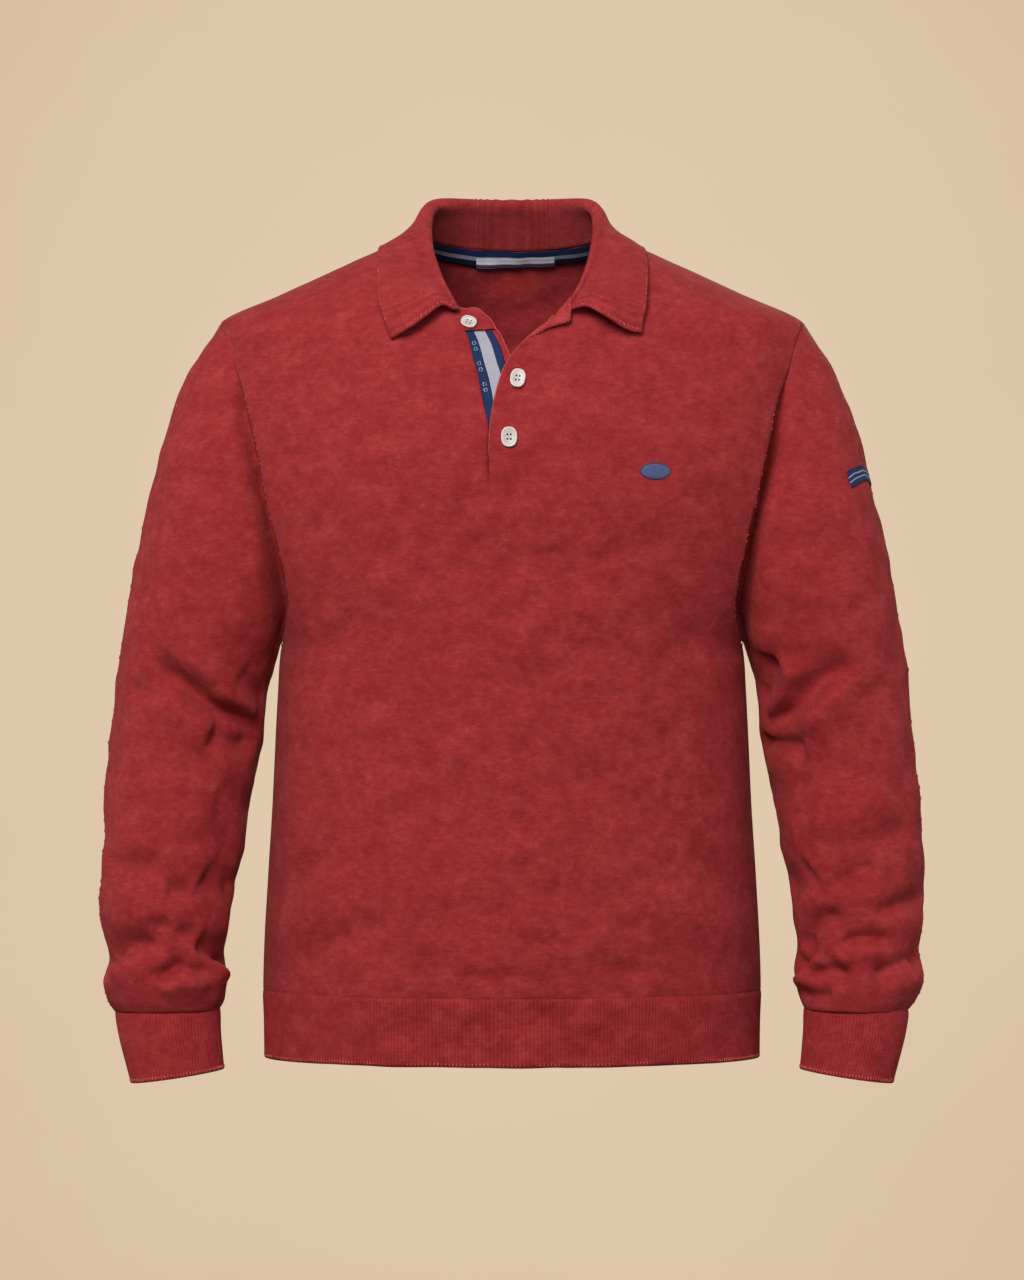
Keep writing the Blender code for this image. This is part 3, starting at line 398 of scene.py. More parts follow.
def body_row(height, start_x, side, columns):
    """Points across half the body at one height, from start_x to the side seam."""
    width = float(form_at(HALF_WIDTH, np.array(height)))
    first = math.asin(side * start_x / width)
    angle = np.linspace(first, math.pi / 2, columns + 1)
    return np.stack((side * width * np.sin(angle), np.full(columns + 1, height)), -1)


def half_panel(side, start_x, columns, inner, neckline, heights):
    """One half of a panel as rows of (across, up) points, from the rib to the shoulder."""
    rows = np.array([body_row(height, start_x, side, columns) for height in heights])
    outer = spread_along([(side * x, z) for x, z in ARMHOLE], ROW_SHARES)
    neck_columns = round(columns * NECK_SHARE)
    neck = spread_along(neckline, np.linspace(0, 1, neck_columns + 1))
    share = np.arange(1, columns - neck_columns + 1) / (columns - neck_columns)
    height = SHOULDER_POINT[1] + (SHOULDER_TIP[1] - SHOULDER_POINT[1]) * share
    shoulder = np.stack((side * form_at(HALF_WIDTH, height), height), -1)
    bottom = body_row(UNDERARM_HEIGHT, start_x, side, columns)
    return np.concatenate((rows, fill_between(bottom, np.vstack((neck, shoulder)), inner, outer)))


def armhole_roll(height, from_edge):
    """How far in a panel lies near its armhole's edge, from the front of the shoulder down."""
    share = np.clip((-0.105 - height) / 0.050, 0.0, 1.0)
    share = share * np.clip((height + 0.345) / 0.030, 0.0, 1.0)
    return ARMHOLE_ROLL * share * np.exp(-(from_edge / ARMHOLE_ROLL_REACH) ** 2)


def body_grid(flat, face, lift=0.0):
    """Rows of (across, up) points raised onto the body, a little short of its seams."""
    curl = EDGE_CURL * np.exp(-((flat[..., 1] - PANEL_EDGE_HEIGHTS[0]) / 0.0009) ** 2)
    grid = on_body(flat[..., 0], flat[..., 1], face, lift - curl)
    grid[:, -1, 1] += face * SIDE_TRIM
    top = grid[-1]
    top[np.abs(top[:, 1]) < SHOULDER_TRIM, 1] = face * SHOULDER_TRIM
    return grid


def stitch_places(flat, face):
    """Each point's place on the knit in metres, round the body and up it."""
    x, z = flat[..., 0], flat[..., 1]
    width = form_at(HALF_WIDTH, z)
    depth = form_at(FRONT_DEPTH if face < 0 else BACK_DEPTH, z)
    turn = np.arcsin(np.clip(x / width, -1.0, 1.0))
    around = np.zeros(turn.shape)
    for middle in (np.arange(8) + 0.5) / 8:
        around += np.hypot(width * np.cos(turn * middle), depth * np.sin(turn * middle)) / 8
    return np.stack((around * turn, z), -1)


def cloth_piece(name, grids, places, wall, material, tube=False):
    """A cloth wall on grids of points joined where they meet, with its stitch places as UVs."""
    points = []
    spots = []
    faces = []
    for grid, place in zip(grids, places):
        rows, columns = grid.shape[:2]
        first = sum(len(block) for block in points)
        number = first + np.arange(rows * columns).reshape(rows, columns)
        last = columns if tube else columns - 1
        here = np.arange(last)
        after = (here + 1) % columns
        faces.append(np.stack((number[:-1, here], number[:-1, after],
                               number[1:, after], number[1:, here]), -1).reshape(-1, 4))
        points.append(grid.reshape(-1, 3))
        spots.append(place.reshape(-1, 2))
    spots = np.vstack(spots)
    mesh = bpy.data.meshes.new(name)
    mesh.from_pydata(np.vstack(points).tolist(), [], np.vstack(faces).tolist())
    corners = np.vstack(faces).reshape(-1)
    spot = spots[corners].reshape(-1, 4, 2)
    if tube:
        turn_round = np.ptp(spot[..., 0], axis=1) > np.ptp(spots[:, 0]) / 2
        low = spot[..., 0] < np.mean(spots[:, 0])
        spot[..., 0] += np.where(turn_round[:, None] & low, tube, 0.0)
    mesh.uv_layers.new(name="stitches").data.foreach_set("uv", spot.reshape(-1))
    shape = bmesh.new()
    shape.from_mesh(mesh)
    bmesh.ops.remove_doubles(shape, verts=shape.verts, dist=0.00001)
    bmesh.ops.recalc_face_normals(shape, faces=shape.faces)
    shape.to_mesh(mesh)
    shape.free()
    mesh.materials.append(material)
    piece = bpy.data.objects.new(name, mesh)
    bpy.context.scene.collection.objects.link(piece)
    thicken = piece.modifiers.new("wall", "SOLIDIFY")
    thicken.thickness = wall
    thicken.offset = 0.0
    thicken.use_even_offset = False
    bpy.context.view_layer.update()
    solid = piece.evaluated_get(bpy.context.evaluated_depsgraph_get())
    piece.data = bpy.data.meshes.new_from_object(solid)
    piece.modifiers.clear()
    piece.data.shade_smooth()
    piece.data.name = name
    bpy.data.meshes.remove(mesh)
    return piece


def math_node(tree, operation, first, second=0.0, third=0.0):
    """The result of a Math node on numbers or links."""
    made = node(tree, "ShaderNodeMath", {"operation": operation},
                {0: first, 1: second, 2: third})
    return made.outputs["Value"]


def noise_node(tree, scale, detail, stretch=(1.0, 1.0, 1.0), shift=(0.0, 0.0, 0.0)):
    """Noise through the object, stretched along its axes, about 0 to 1."""
    place = node(tree, "ShaderNodeTexCoord")
    squeeze = node(tree, "ShaderNodeMapping", None,
                   {"Vector": place.outputs["Object"], "Scale": stretch, "Location": shift})
    made = node(tree, "ShaderNodeTexNoise", None,
                {"Vector": squeeze.outputs["Vector"], "Scale": scale, "Detail": detail,
                 "Roughness": 0.55})
    return made.outputs["Fac"]


def stitch_place(tree):
    """Where each point lies on its cloth: round or across it, and up or along it."""
    place = node(tree, "ShaderNodeUVMap", {"uv_map": "stitches"})
    split = node(tree, "ShaderNodeSeparateXYZ", None, {"Vector": place.outputs["UV"]})
    return split.outputs["X"], split.outputs["Y"]


def colour_ramp(tree, factor, stops, interpolation="LINEAR"):
    """The colour for a factor, between stops that are each a position and a colour."""
    ramp = node(tree, "ShaderNodeValToRGB", None, {"Fac": factor})
    ramp.color_ramp.interpolation = interpolation
    ends = ramp.color_ramp.elements
    for end, (position, colour) in ((ends[0], stops[0]), (ends[1], stops[-1])):
        end.position = position
        end.color = (*colour, 1.0)
    for position, colour in stops[1:-1]:
        ends.new(position).color = (*colour, 1.0)
    return ramp.outputs["Color"]


def new_finish(name):
    """A new material, its nodes and its shader."""
    finish = bpy.data.materials.new(name)
    finish.use_nodes = True
    return finish, finish.node_tree, finish.node_tree.nodes["Principled BSDF"]


def set_shader(tree, shader, colour, height, bump, values):
    """A shader's colour, its bump as a height, strength and depth, and its plain values."""
    raised = node(tree, "ShaderNodeBump", None,
                  {"Height": height, "Strength": bump[0], "Distance": bump[1]})
    tree.links.new(colour, shader.inputs["Base Color"])
    tree.links.new(raised.outputs["Normal"], shader.inputs["Normal"])
    for key, value in values.items():
        shader.inputs[key].default_value = value


def yarn_finish(name, red, dusty, deep, bump_height, shift, groove_shade=None, shade=None):
    """Melange wool: cloudy dye, painted shade in the hollows between its ribs and, where given, a
    painted shade over part of it, and a height for the stitches to bump.
    """
    finish, tree, shader = new_finish(name)
    layers = (
        (noise_node(tree, 60.0, 3.0, (1.0, 1.0, 1.1), (shift, 0.0, 0.0)), 0.70),
        (noise_node(tree, 150.0, 2.0, (1.0, 1.0, 1.3), (0.0, shift, 0.0)), 0.52),
        (noise_node(tree, 360.0, 2.0, (0.38, 0.38, 1.5), (0.0, 0.0, shift)), 0.42),
        (noise_node(tree, 1150.0, 2.0, (1.1, 1.1, 1.0), (shift, shift, 0.0)), 0.78),
    )
    dye_and_groove_shade = 0.5
    for layer, share in layers:
        dye_and_groove_shade = math_node(tree, "ADD", dye_and_groove_shade, math_node(tree, "MULTIPLY_ADD", layer, share, -share / 2))
    # Painted shade: the colour is darkened in the grooves between ribs, where shade falls.
    if groove_shade:
        dye_and_groove_shade = math_node(tree, "MULTIPLY_ADD", groove_shade(tree), -0.34, dye_and_groove_shade)
    colour = colour_ramp(tree, dye_and_groove_shade, ((0.12, deep), (0.50, red), (0.92, dusty)))
    fuzz = noise_node(tree, 2300.0, 1.0)
    relief = math_node(tree, "MULTIPLY_ADD", fuzz, 0.35, bump_height(tree))
    relief = math_node(tree, "MULTIPLY_ADD", layers[1][0], 1.2, relief)
    # Painted shade: a factor below 1 darkens the colour where less light reaches.
    if shade:
        darker = node(tree, "ShaderNodeVectorMath", {"operation": "SCALE"},
                      {0: colour, "Scale": shade(tree)})
        colour = darker.outputs["Vector"]
    set_shader(tree, shader, colour, relief, (0.55, 0.00035),
               {"Roughness": 0.92, "Specular IOR Level": 0.18, "Sheen Weight": 0.07,
                "Sheen Roughness": 0.45, "Sheen Tint": (1.0, 0.45, 0.42, 1.0)})
    return finish


def jersey_height(tree):
    """Rows of small V stitches, as high as the yarn stands."""
    around, up = stitch_place(tree)
    wale = math_node(tree, "FRACT", math_node(tree, "DIVIDE", around, STITCH_WIDTH))
    beside = math_node(tree, "ABSOLUTE", math_node(tree, "MULTIPLY_ADD", wale, 2.0, -1.0))
    course = math_node(tree, "DIVIDE", up, STITCH_HEIGHT)
    leg = math_node(tree, "MULTIPLY_ADD", beside, -0.85, course)
    round_leg = math_node(tree, "SINE", math_node(tree, "MULTIPLY", leg, math.tau))
    across = math_node(tree, "SINE", math_node(tree, "MULTIPLY", beside, math.pi))
    body = math_node(tree, "MULTIPLY_ADD", round_leg, 0.35, 0.65)
    return math_node(tree, "MULTIPLY", body, across)


KNIT = yarn_finish("knit_red", KNIT_RED, KNIT_DUSTY, KNIT_DEEP, jersey_height, 0.0)

ROW_SHARES = 1 - (1 - np.linspace(0, 1, ROWS_TO_SLIT + ROWS_ABOVE_SLIT + 1)) ** ROW_CROWDING
SLIT_SHARES = ((ROW_SHARES[ROWS_TO_SLIT:] - ROW_SHARES[ROWS_TO_SLIT])
               / (1 - ROW_SHARES[ROWS_TO_SLIT]))
HEIGHTS = np.concatenate((PANEL_EDGE_HEIGHTS, np.linspace(PANEL_EDGE_HEIGHTS[-1] + 0.0015,
                                                         UNDERARM_HEIGHT, BODY_ROWS,
                                                         endpoint=False)))
below_slit = np.stack((np.full(ROWS_TO_SLIT, SLIT_ACROSS),
                       np.linspace(UNDERARM_HEIGHT, SLIT_END_HEIGHT, ROWS_TO_SLIT,
                                   endpoint=False)), -1)
first_open_row = len(HEIGHTS) + ROWS_TO_SLIT
grids = []
places = []
for side, columns, edge, neckline in ((-1, RIGHT_COLUMNS, UNDER_EDGE, NECKLINE_RIGHT),
                                      (1, LEFT_COLUMNS, OVER_EDGE, NECKLINE_LEFT)):
    inner = np.vstack((below_slit, spread_along(edge, SLIT_SHARES)))
    flat = half_panel(side, SLIT_ACROSS, columns, inner, neckline, HEIGHTS)
    flat[first_open_row + 1:, 0, 0] += side * SEAM_GAP
    from_edge = np.linalg.norm(flat - flat[:, :1], axis=-1)
    height = flat[..., 1]
    if side > 0:
        share = np.clip((height - SLIT_END_HEIGHT) / 0.020, 0.0, 1.0)
        lift = OVERLAP_LIFT * share * np.exp(-(from_edge / OVERLAP_REACH) ** 2)
    else:
        share = np.clip((height - SLIT_END_HEIGHT + 0.004) / 0.012, 0.0, 1.0)
        share = share * np.clip((TAPE_END_HEIGHT + 0.003 - height) / 0.014, 0.0, 1.0)
        lift = -SLIT_DIP * share * np.exp(-(from_edge / SLIT_DIP_REACH) ** 2)
    from_armhole = np.linalg.norm(flat - flat[:, -1:], axis=-1)
    grids.append(body_grid(flat, -1, lift - armhole_roll(height, from_armhole)))
    places.append(stitch_places(flat, -1))
front = cloth_piece("front", grids, places, CLOTH_WALL, KNIT)
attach(front, "root")
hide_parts("front_panel")


# ---- the back -----------------------------------------------------------------------------
# One piece of the same knit, full over the shoulder blades and slack in the small of the back,
# where it creases towards the sides. It is linked to the front along the shoulders and down the
# sides with the same yarn, which lies as a fine row of loops in each seam.
BACK_NECK_DIP = 0.0080
SHOULDER_LINK = 0.00118      # half the thickness of the row of loops along each shoulder
SIDE_LINK = 0.00052
LINK_PITCH = 0.0028
BACK_FOLDS = (
    (-0.1100, -0.2600, -0.1850, -0.4000, -0.0035, 0.0150),
    (0.1250, -0.2500, 0.1900, -0.3900, -0.0040, 0.0160),
    (-0.0300, -0.4700, -0.1700, -0.5250, -0.0040, 0.0160),
    (0.0500, -0.4500, 0.1850, -0.5150, -0.0045, 0.0150),
    (-0.0900, -0.5500, 0.1100, -0.5650, 0.0040, 0.0180),
    (-0.0700, -0.1300, 0.0800, -0.1350, -0.0025, 0.0250),
    (-0.0600, -0.4950, -0.1750, -0.5600, 0.0030, 0.0140),
    (0.0700, -0.4900, 0.1750, -0.5650, 0.0028, 0.0150),
    (-0.1000, -0.5950, 0.0300, -0.6080, -0.0020, 0.0080),
    (0.0700, -0.5900, 0.1700, -0.6100, -0.0022, 0.0080),
    (-0.1500, -0.1500, -0.1850, -0.2700, 0.0020, 0.0120),
    (0.1500, -0.1400, 0.1900, -0.2600, 0.0020, 0.0120),
    (-0.0200, -0.3000, 0.0100, -0.4300, 0.0016, 0.0240),
    (0.0450, -0.0850, 0.1300, -0.1150, 0.0014, 0.0160),
)
BACK_COLUMNS = 90

def small_piece(name, shape, material):
    """An object from a finished shape, in its material, riding with the sweater."""
    mesh = bpy.data.meshes.new(name)
    shape.to_mesh(mesh)
    shape.free()
    mesh.uv_layers.new(name="stitches")
    mesh.materials.append(material)
    mesh.shade_smooth()
    piece = bpy.data.objects.new(name, mesh)
    bpy.context.scene.collection.objects.link(piece)
    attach(piece, "root")
    return piece


def cord(name, points, radius, material, sides=6):
    """A round cord along a path."""
    points = np.asarray(points, float)
    along = np.gradient(points, axis=0)
    along /= np.linalg.norm(along, axis=1, keepdims=True)
    first = np.cross(along, (0.31, 0.90, 0.29))
    first /= np.linalg.norm(first, axis=1, keepdims=True)
    second = np.cross(along, first)
    angle = np.arange(sides) * math.tau / sides
    taper = np.clip(np.minimum(np.arange(len(points)), np.arange(len(points))[::-1]) / 2, 0.35, 1)
    arm = (first[:, None] * np.cos(angle)[None, :, None]
           + second[:, None] * np.sin(angle)[None, :, None])
    rings = points[:, None] + arm * (radius * taper)[:, None, None]
    shape = bmesh.new()
    verts = [[shape.verts.new(point) for point in ring] for ring in rings]
    for ring, following in zip(verts, verts[1:]):
        for index in range(sides):
            after = (index + 1) % sides
            shape.faces.new((ring[index], ring[after], following[after], following[index]))
    shape.faces.new(verts[0][::-1])
    shape.faces.new(verts[-1])
    bmesh.ops.recalc_face_normals(shape, faces=shape.faces)
    return small_piece(name, shape, material)


def seam_link(name, side, top, bottom, half_thickness):
    """The row of loops that closes one seam between the back and the front."""
    heights = np.linspace(top, bottom, 400)
    line = np.stack((side * form_at(HALF_WIDTH, heights), np.zeros(400), heights), -1)
    length = np.append(0.0, np.cumsum(np.linalg.norm(np.diff(line, axis=0), axis=1)))
    even = np.arange(0.0, length[-1], LINK_PITCH / 4)
    path = np.stack([np.interp(even, length, line[:, part]) for part in range(3)], -1)
    thickness = half_thickness * (0.90 + 0.10 * np.cos(even * math.tau / LINK_PITCH))
    return cord(name, path, thickness, KNIT)


neck_x, neck_z = SHOULDER_POINT
grids = []
places = []
for side in (-1, 1):
    neckline = [(side * neck_x * part, neck_z - BACK_NECK_DIP * (1 - part ** 2))
                for part in (0.0, 0.3, 0.6, 0.85, 1.0)]
    middle = UNDERARM_HEIGHT + (neckline[0][1] - UNDERARM_HEIGHT) * ROW_SHARES
    inner = np.stack((np.zeros(len(middle)), middle), -1)
    flat = half_panel(side, 0.0, BACK_COLUMNS, inner, neckline, HEIGHTS)
    from_armhole = np.linalg.norm(flat - flat[:, -1:], axis=-1)
    grids.append(body_grid(flat, 1, -armhole_roll(flat[..., 1], from_armhole)))
    places.append(stitch_places(flat, 1))
back = cloth_piece("back", grids, places, CLOTH_WALL, KNIT)
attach(back, "root")
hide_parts("back_panel")
for side, hand in ((-1, "right"), (1, "left")):
    seam_link(f"{hand}_shoulder_seam", side, neck_z, -0.0615, SHOULDER_LINK)
    seam_link(f"{hand}_side_seam", side, -0.3370, -0.6920, SIDE_LINK)


# ---- the hem rib --------------------------------------------------------------------------
# A 1x1 rib, 59 mm deep, linked to the front and the back and drawing them in a little. Each
# rib is a column of stitches that stands proud, and the bottom edge is bound with a stitch.
RIB_WALL = 0.0026
HEM_HEIGHT = -0.6930
RIB_PITCH = 0.0027
RIB_RELIEF = 0.00055
RIB_TUCK = 0.0014            # how far the rib's top lies beneath the panel's edge
HEM_ROWS = 16
RIB_RED = (0.345, 0.0280, 0.0320)
RIB_DUSTY = (0.465, 0.0590, 0.0640)
RIB_DEEP = (0.245, 0.0140, 0.0180)
EDGE_YARN = (0.560, 0.0820, 0.0760)
EDGE_YARN_DEEP = (0.300, 0.0220, 0.0240)
EDGE_STITCH = (0.00150, 0.0037, 0.0013)


def rib_height(tree):
    """Rows of stitches down each rib; the ribs themselves are in the mesh."""
    course = math_node(tree, "MULTIPLY", stitch_place(tree)[1], math.tau / STITCH_HEIGHT)
    return math_node(tree, "MULTIPLY_ADD", math_node(tree, "SINE", course), 0.35, 0.5)


def rib_groove_shade(tree, pitch=RIB_PITCH, depth=0.30):
    """How much painted shade darkens the colour between two ribs: 0 on a rib and twice the depth in
    the groove.
    """
    wave = math_node(tree, "MULTIPLY", stitch_place(tree)[0], math.tau / pitch)
    return math_node(tree, "MULTIPLY_ADD", math_node(tree, "COSINE", wave), -depth, depth)


# The rib's colour carries painted shade in the grooves between its ribs.
RIB = yarn_finish("rib_red", RIB_RED, RIB_DUSTY, RIB_DEEP, rib_height, 0.7, rib_groove_shade)
BINDING = yarn_finish("edge_yarn", EDGE_YARN, (0.70, 0.20, 0.19), EDGE_YARN_DEEP, rib_height, 1.9)


def surface_out(grid, tube=False):
    """The outward direction at each point of a grid, found from its neighbours."""
    if tube:
        across = np.roll(grid, -1, axis=1) - np.roll(grid, 1, axis=1)
    else:
        across = np.gradient(grid, axis=1)
    along = np.gradient(grid, axis=0)
    out = np.cross(across, along)
    return out / np.linalg.norm(out, axis=-1, keepdims=True)


def stitch_row(name, points, outward, down, size, material, every=1):
    """A row of small yarn stitches over an edge, one at each of the points given."""
    shape = bmesh.new()
    chance = np.random.default_rng(len(points))
    for point, out, low in zip(points[::every], outward[::every], down[::every]):
        out = Vector(out).normalized()
        low = Vector(low)
        low = (low - out * low.dot(out)).normalized()
        beside = out.cross(low)
        wide, long, high = (value * chance.uniform(0.85, 1.15) for value in size)
        lean = chance.normal(0.0, 0.16)
        turn = Matrix((beside, low, out)).transposed().to_4x4() @ Matrix.Rotation(lean, 4, "Z")
        turn = Matrix.Translation(Vector(point)) @ turn @ Matrix.Diagonal((wide, long, high, 1.0))
        bmesh.ops.create_uvsphere(shape, u_segments=6, v_segments=5, radius=0.5, matrix=turn)
    return small_piece(name, shape, material)


def hem_half(name, face, cad_node):
    """Half of the rib round the hem, from one side seam to the other."""
    heights = np.concatenate((np.linspace(HEM_HEIGHT, PANEL_EDGE_HEIGHTS[0], HEM_ROWS),
                              (-0.6345, -0.6336, -0.6322)))
    girth = 2 * stitch_places(body_row(heights[0], 0.0, 1, 4)[-1:], face)[0, 0]
    ribs = round(girth / RIB_PITCH)
    columns = ribs * 2
    flat = []
    for height in heights:
        right = body_row(height, 0.0, -1, columns)
        left = body_row(height, 0.0, 1, columns)
        flat.append(np.vstack((right[:0:-1], left)))
    flat = np.array(flat)
    tuck = np.clip((heights - PANEL_EDGE_HEIGHTS[0] + 0.0008) / 0.0022, 0.0, 1.0)[:, None]
    grid = on_body(flat[..., 0], flat[..., 1], face, -RIB_TUCK * tuck)
    count = grid.shape[1]
    # The rib thins to a plain edge at the very bottom and where it is linked on at the top.
    strength = np.clip((heights[:, None] - HEM_HEIGHT) / 0.003, 0.0, 1.0) * (1 - tuck)
    wave = np.cos(np.arange(count) * math.tau / 4)[None, :] * strength
    outward = surface_out(grid)
    outward *= np.sign(np.sum(outward[..., 1:2] * face, axis=-1, keepdims=True) + 1e-9)
    ends = np.clip(np.minimum(np.arange(count), count - 1 - np.arange(count)) / 6, 0.0, 1.0)
    grid = grid + outward * (RIB_RELIEF / 2 * wave * ends)[..., None]
    grid[:, 0, 1] += face * SIDE_TRIM
    grid[:, -1, 1] += face * SIDE_TRIM
    spots = stitch_places(flat, face)
    spots[..., 0] = np.arange(count) / 4 * RIB_PITCH
    band = cloth_piece(name, [grid], [spots], RIB_WALL, RIB)
    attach(band, "root")
    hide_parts(cad_node)
    low = np.tile((0.0, 0.0, -1.0), (count, 1))
    edge = grid[0] + outward[0] * (RIB_WALL / 2 - 0.0001) - low * 0.0024
    seam = stitch_row(name + "_edge", edge[4:-3], outward[0][4:-3], low[4:-3], EDGE_STITCH,
                      BINDING, 4)


hem_half("hem_front_rib", -1, "hem_front")
hem_half("hem_back_rib", 1, "hem_back")


# ---- the sleeves --------------------------------------------------------------------------
# Set-in sleeves of the same knit, each a tapered tube closed along its inner side. They crease
# at the elbow and gather in soft folds where they blouse over the cuffs.
SLEEVE_SIDES = 132
RING_STEPS = 8
ARMHOLE_RINGS = 5            # the rings over which the armhole's own shape fades out
SLEEVE_TUCK = (0.0006, 0.0024)   # beneath the body's edge at the shoulder and at the underarm
# How deep the sleeve falls in beside the armhole's seam and how far out that reaches, at
# heights up the seam's front.
SLEEVE_HOLLOW = np.array((
    (-0.3600, 0.0400, 0.0260),
    (-0.3378, 0.0400, 0.0260),
    (-0.3017, 0.0380, 0.0220),
    (-0.2682, 0.0320, 0.0170),
    (-0.2346, 0.0260, 0.0125),
    (-0.2180, 0.0225, 0.0105),
    (-0.1969, 0.0260, 0.0130),
    (-0.1726, 0.0235, 0.0150),
    (-0.1264, 0.0130, 0.0130),
    (-0.0980, 0.0000, 0.0120),
))
HOLLOW_START = 0.0045        # from the sleeve's edge beneath the panel out to the panel's edge
BACK_HOLLOW_SHARE = 0.55
WHIP_STITCH = (0.0011, 0.0034, 0.0009)
CREASE_DEPTH = 2.1           # of the heights below, all over the sleeves
CREASE_WIDTH = 1.45          # and of the reaches
# Each ring's outer and inner point as seen from the front, how far forward its middle lies,
# and its depth to the front and to the back.
SLEEVE_RINGS = np.array((
    (0.2502, -0.0634, 0.2002, -0.3322, 0.000, 0.0640, 0.0600),
    (0.2640, -0.0850, 0.2034, -0.3348, 0.000, 0.0610, 0.0590),
    (0.2769, -0.1060, 0.2046, -0.3410, 0.001, 0.0620, 0.0600),
    (0.2890, -0.1330, 0.2060, -0.3500, 0.002, 0.0650, 0.0620),
    (0.2992, -0.1670, 0.2076, -0.3600, 0.002, 0.0670, 0.0630),
    (0.3095, -0.2080, 0.2096, -0.3720, 0.002, 0.0670, 0.0630),
    (0.3195, -0.2500, 0.2120, -0.3870, 0.002, 0.0660, 0.0620),
    (0.3290, -0.3010, 0.2142, -0.4050, 0.002, 0.0640, 0.0610),
    (0.3360, -0.3500, 0.2165, -0.4260, 0.001, 0.0610, 0.0600),
    (0.3413, -0.3950, 0.2198, -0.4480, -0.001, 0.0580, 0.0580),
    (0.3447, -0.4330, 0.2240, -0.4700, -0.004, 0.0560, 0.0560),
    (0.3482, -0.4710, 0.2290, -0.4950, -0.008, 0.0540, 0.0540),
    (0.3502, -0.5070, 0.2340, -0.5210, -0.012, 0.0520, 0.0520),
    (0.3512, -0.5410, 0.2384, -0.5480, -0.016, 0.0500, 0.0500),
    (0.3510, -0.5700, 0.2420, -0.5730, -0.020, 0.0480, 0.0480),
    (0.3462, -0.5980, 0.2446, -0.5980, -0.023, 0.0455, 0.0455),
    (0.3498, -0.6220, 0.2428, -0.6210, -0.026, 0.0465, 0.0465),
    (0.3450, -0.6400, 0.2452, -0.6390, -0.028, 0.0430, 0.0430),
    (0.3378, -0.6515, 0.2500, -0.6500, -0.029, 0.0385, 0.0385),
))
# The creases round each sleeve: height (below zero for a trough), its reach above and below
# the line, and the line itself as degrees round (0 outer, 90 front, 180 inner, 270 back) and
# height up the sweater.
RIGHT_SLEEVE_CREASES = (
    (-0.0092, 0.0066, 0.0070, ((52, -0.3540), (64, -0.3582), (74, -0.3625), (87, -0.3718),
                               (100, -0.3837), (112, -0.3930), (126, -0.4000), (148, -0.4062),
                               (170, -0.4090))),
    (0.0020, 0.0060, 0.0110, ((72, -0.3790), (86, -0.3900), (101, -0.4030), (120, -0.4110))),
    (0.0030, 0.0060, 0.0070, ((108, -0.3760), (126, -0.3855), (143, -0.3930), (163, -0.3990))),
    (-0.0030, 0.0100, 0.0060, ((126, -0.3640), (140, -0.3740), (155, -0.3850), (172, -0.3930))),
    (-0.0058, 0.0075, 0.0065, ((106, -0.4168), (122, -0.4220), (140, -0.4274), (168, -0.4295))),
    (-0.0022, 0.0060, 0.0060, ((36, -0.3728), (50, -0.3779), (64, -0.3835))),
    (-0.0040, 0.0090, 0.0090, ((185, -0.3900), (230, -0.3850), (280, -0.3990), (330, -0.4080))),
    (0.0034, 0.0100, 0.0090, ((195, -0.4060), (240, -0.4020), (290, -0.4150))),
    (-0.0034, 0.0080, 0.0080, ((200, -0.4330), (250, -0.4280), (310, -0.4420))),
    (-0.0022, 0.0060, 0.0060, ((90, -0.5488), (102, -0.5497), (114, -0.5481))),
    (-0.0024, 0.0055, 0.0050, ((75, -0.5793), (88, -0.5783), (102, -0.5758))),
    (-0.0024, 0.0055, 0.0050, ((99, -0.5843), (112, -0.5845), (128, -0.5814))),
    (-0.0030, 0.0090, 0.0090, ((120, -0.5340), (141, -0.5429), (180, -0.5500))),
    (-0.0060, 0.0088, 0.0050, ((-30, -0.6080), (0, -0.6150), (16, -0.6160), (32, -0.6058),
                               (48, -0.5976), (65, -0.5947), (81, -0.5987), (97, -0.6012))),
    (-0.0064, 0.0095, 0.0040, ((118, -0.5950), (134, -0.5995), (150, -0.6050), (174, -0.6120),
                               (210, -0.6110))),
    (0.0036, 0.0055, 0.0090, ((112, -0.6010), (131, -0.6070), (151, -0.6140), (178, -0.6230))),
    (0.0030, 0.0070, 0.0080, ((30, -0.6190), (52, -0.6110), (76, -0.6085), (101, -0.6080))),
    (-0.0060, 0.0070, 0.0038, ((80, -0.6262), (92, -0.6196), (103, -0.6155), (116, -0.6148),
                               (131, -0.6178), (149, -0.6209))),
    (0.0026, 0.0050, 0.0090, ((84, -0.6330), (100, -0.6260), (118, -0.6230), (140, -0.6290))),
    (-0.0045, 0.0075, 0.0055, ((200, -0.5980), (240, -0.5880), (285, -0.5990), (325, -0.6060))),
    (-0.0050, 0.0070, 0.0050, ((225, -0.6240), (265, -0.6150), (310, -0.6240))),
    (0.0028, 0.0080, 0.0080, ((215, -0.6100), (260, -0.6030), (300, -0.6120))),
    (-0.0024, 0.0080, 0.0080, ((20, -0.5200), (60, -0.5270), (95, -0.5230))),
    (0.0016, 0.0120, 0.0120, ((60, -0.4700), (95, -0.4860), (130, -0.4800))),
    (-0.0020, 0.0110, 0.0110, ((240, -0.5000), (285, -0.5120), (320, -0.5060))),
    (-0.0016, 0.0120, 0.0120, ((120, -0.4600), (150, -0.4740), (185, -0.4800))),
)
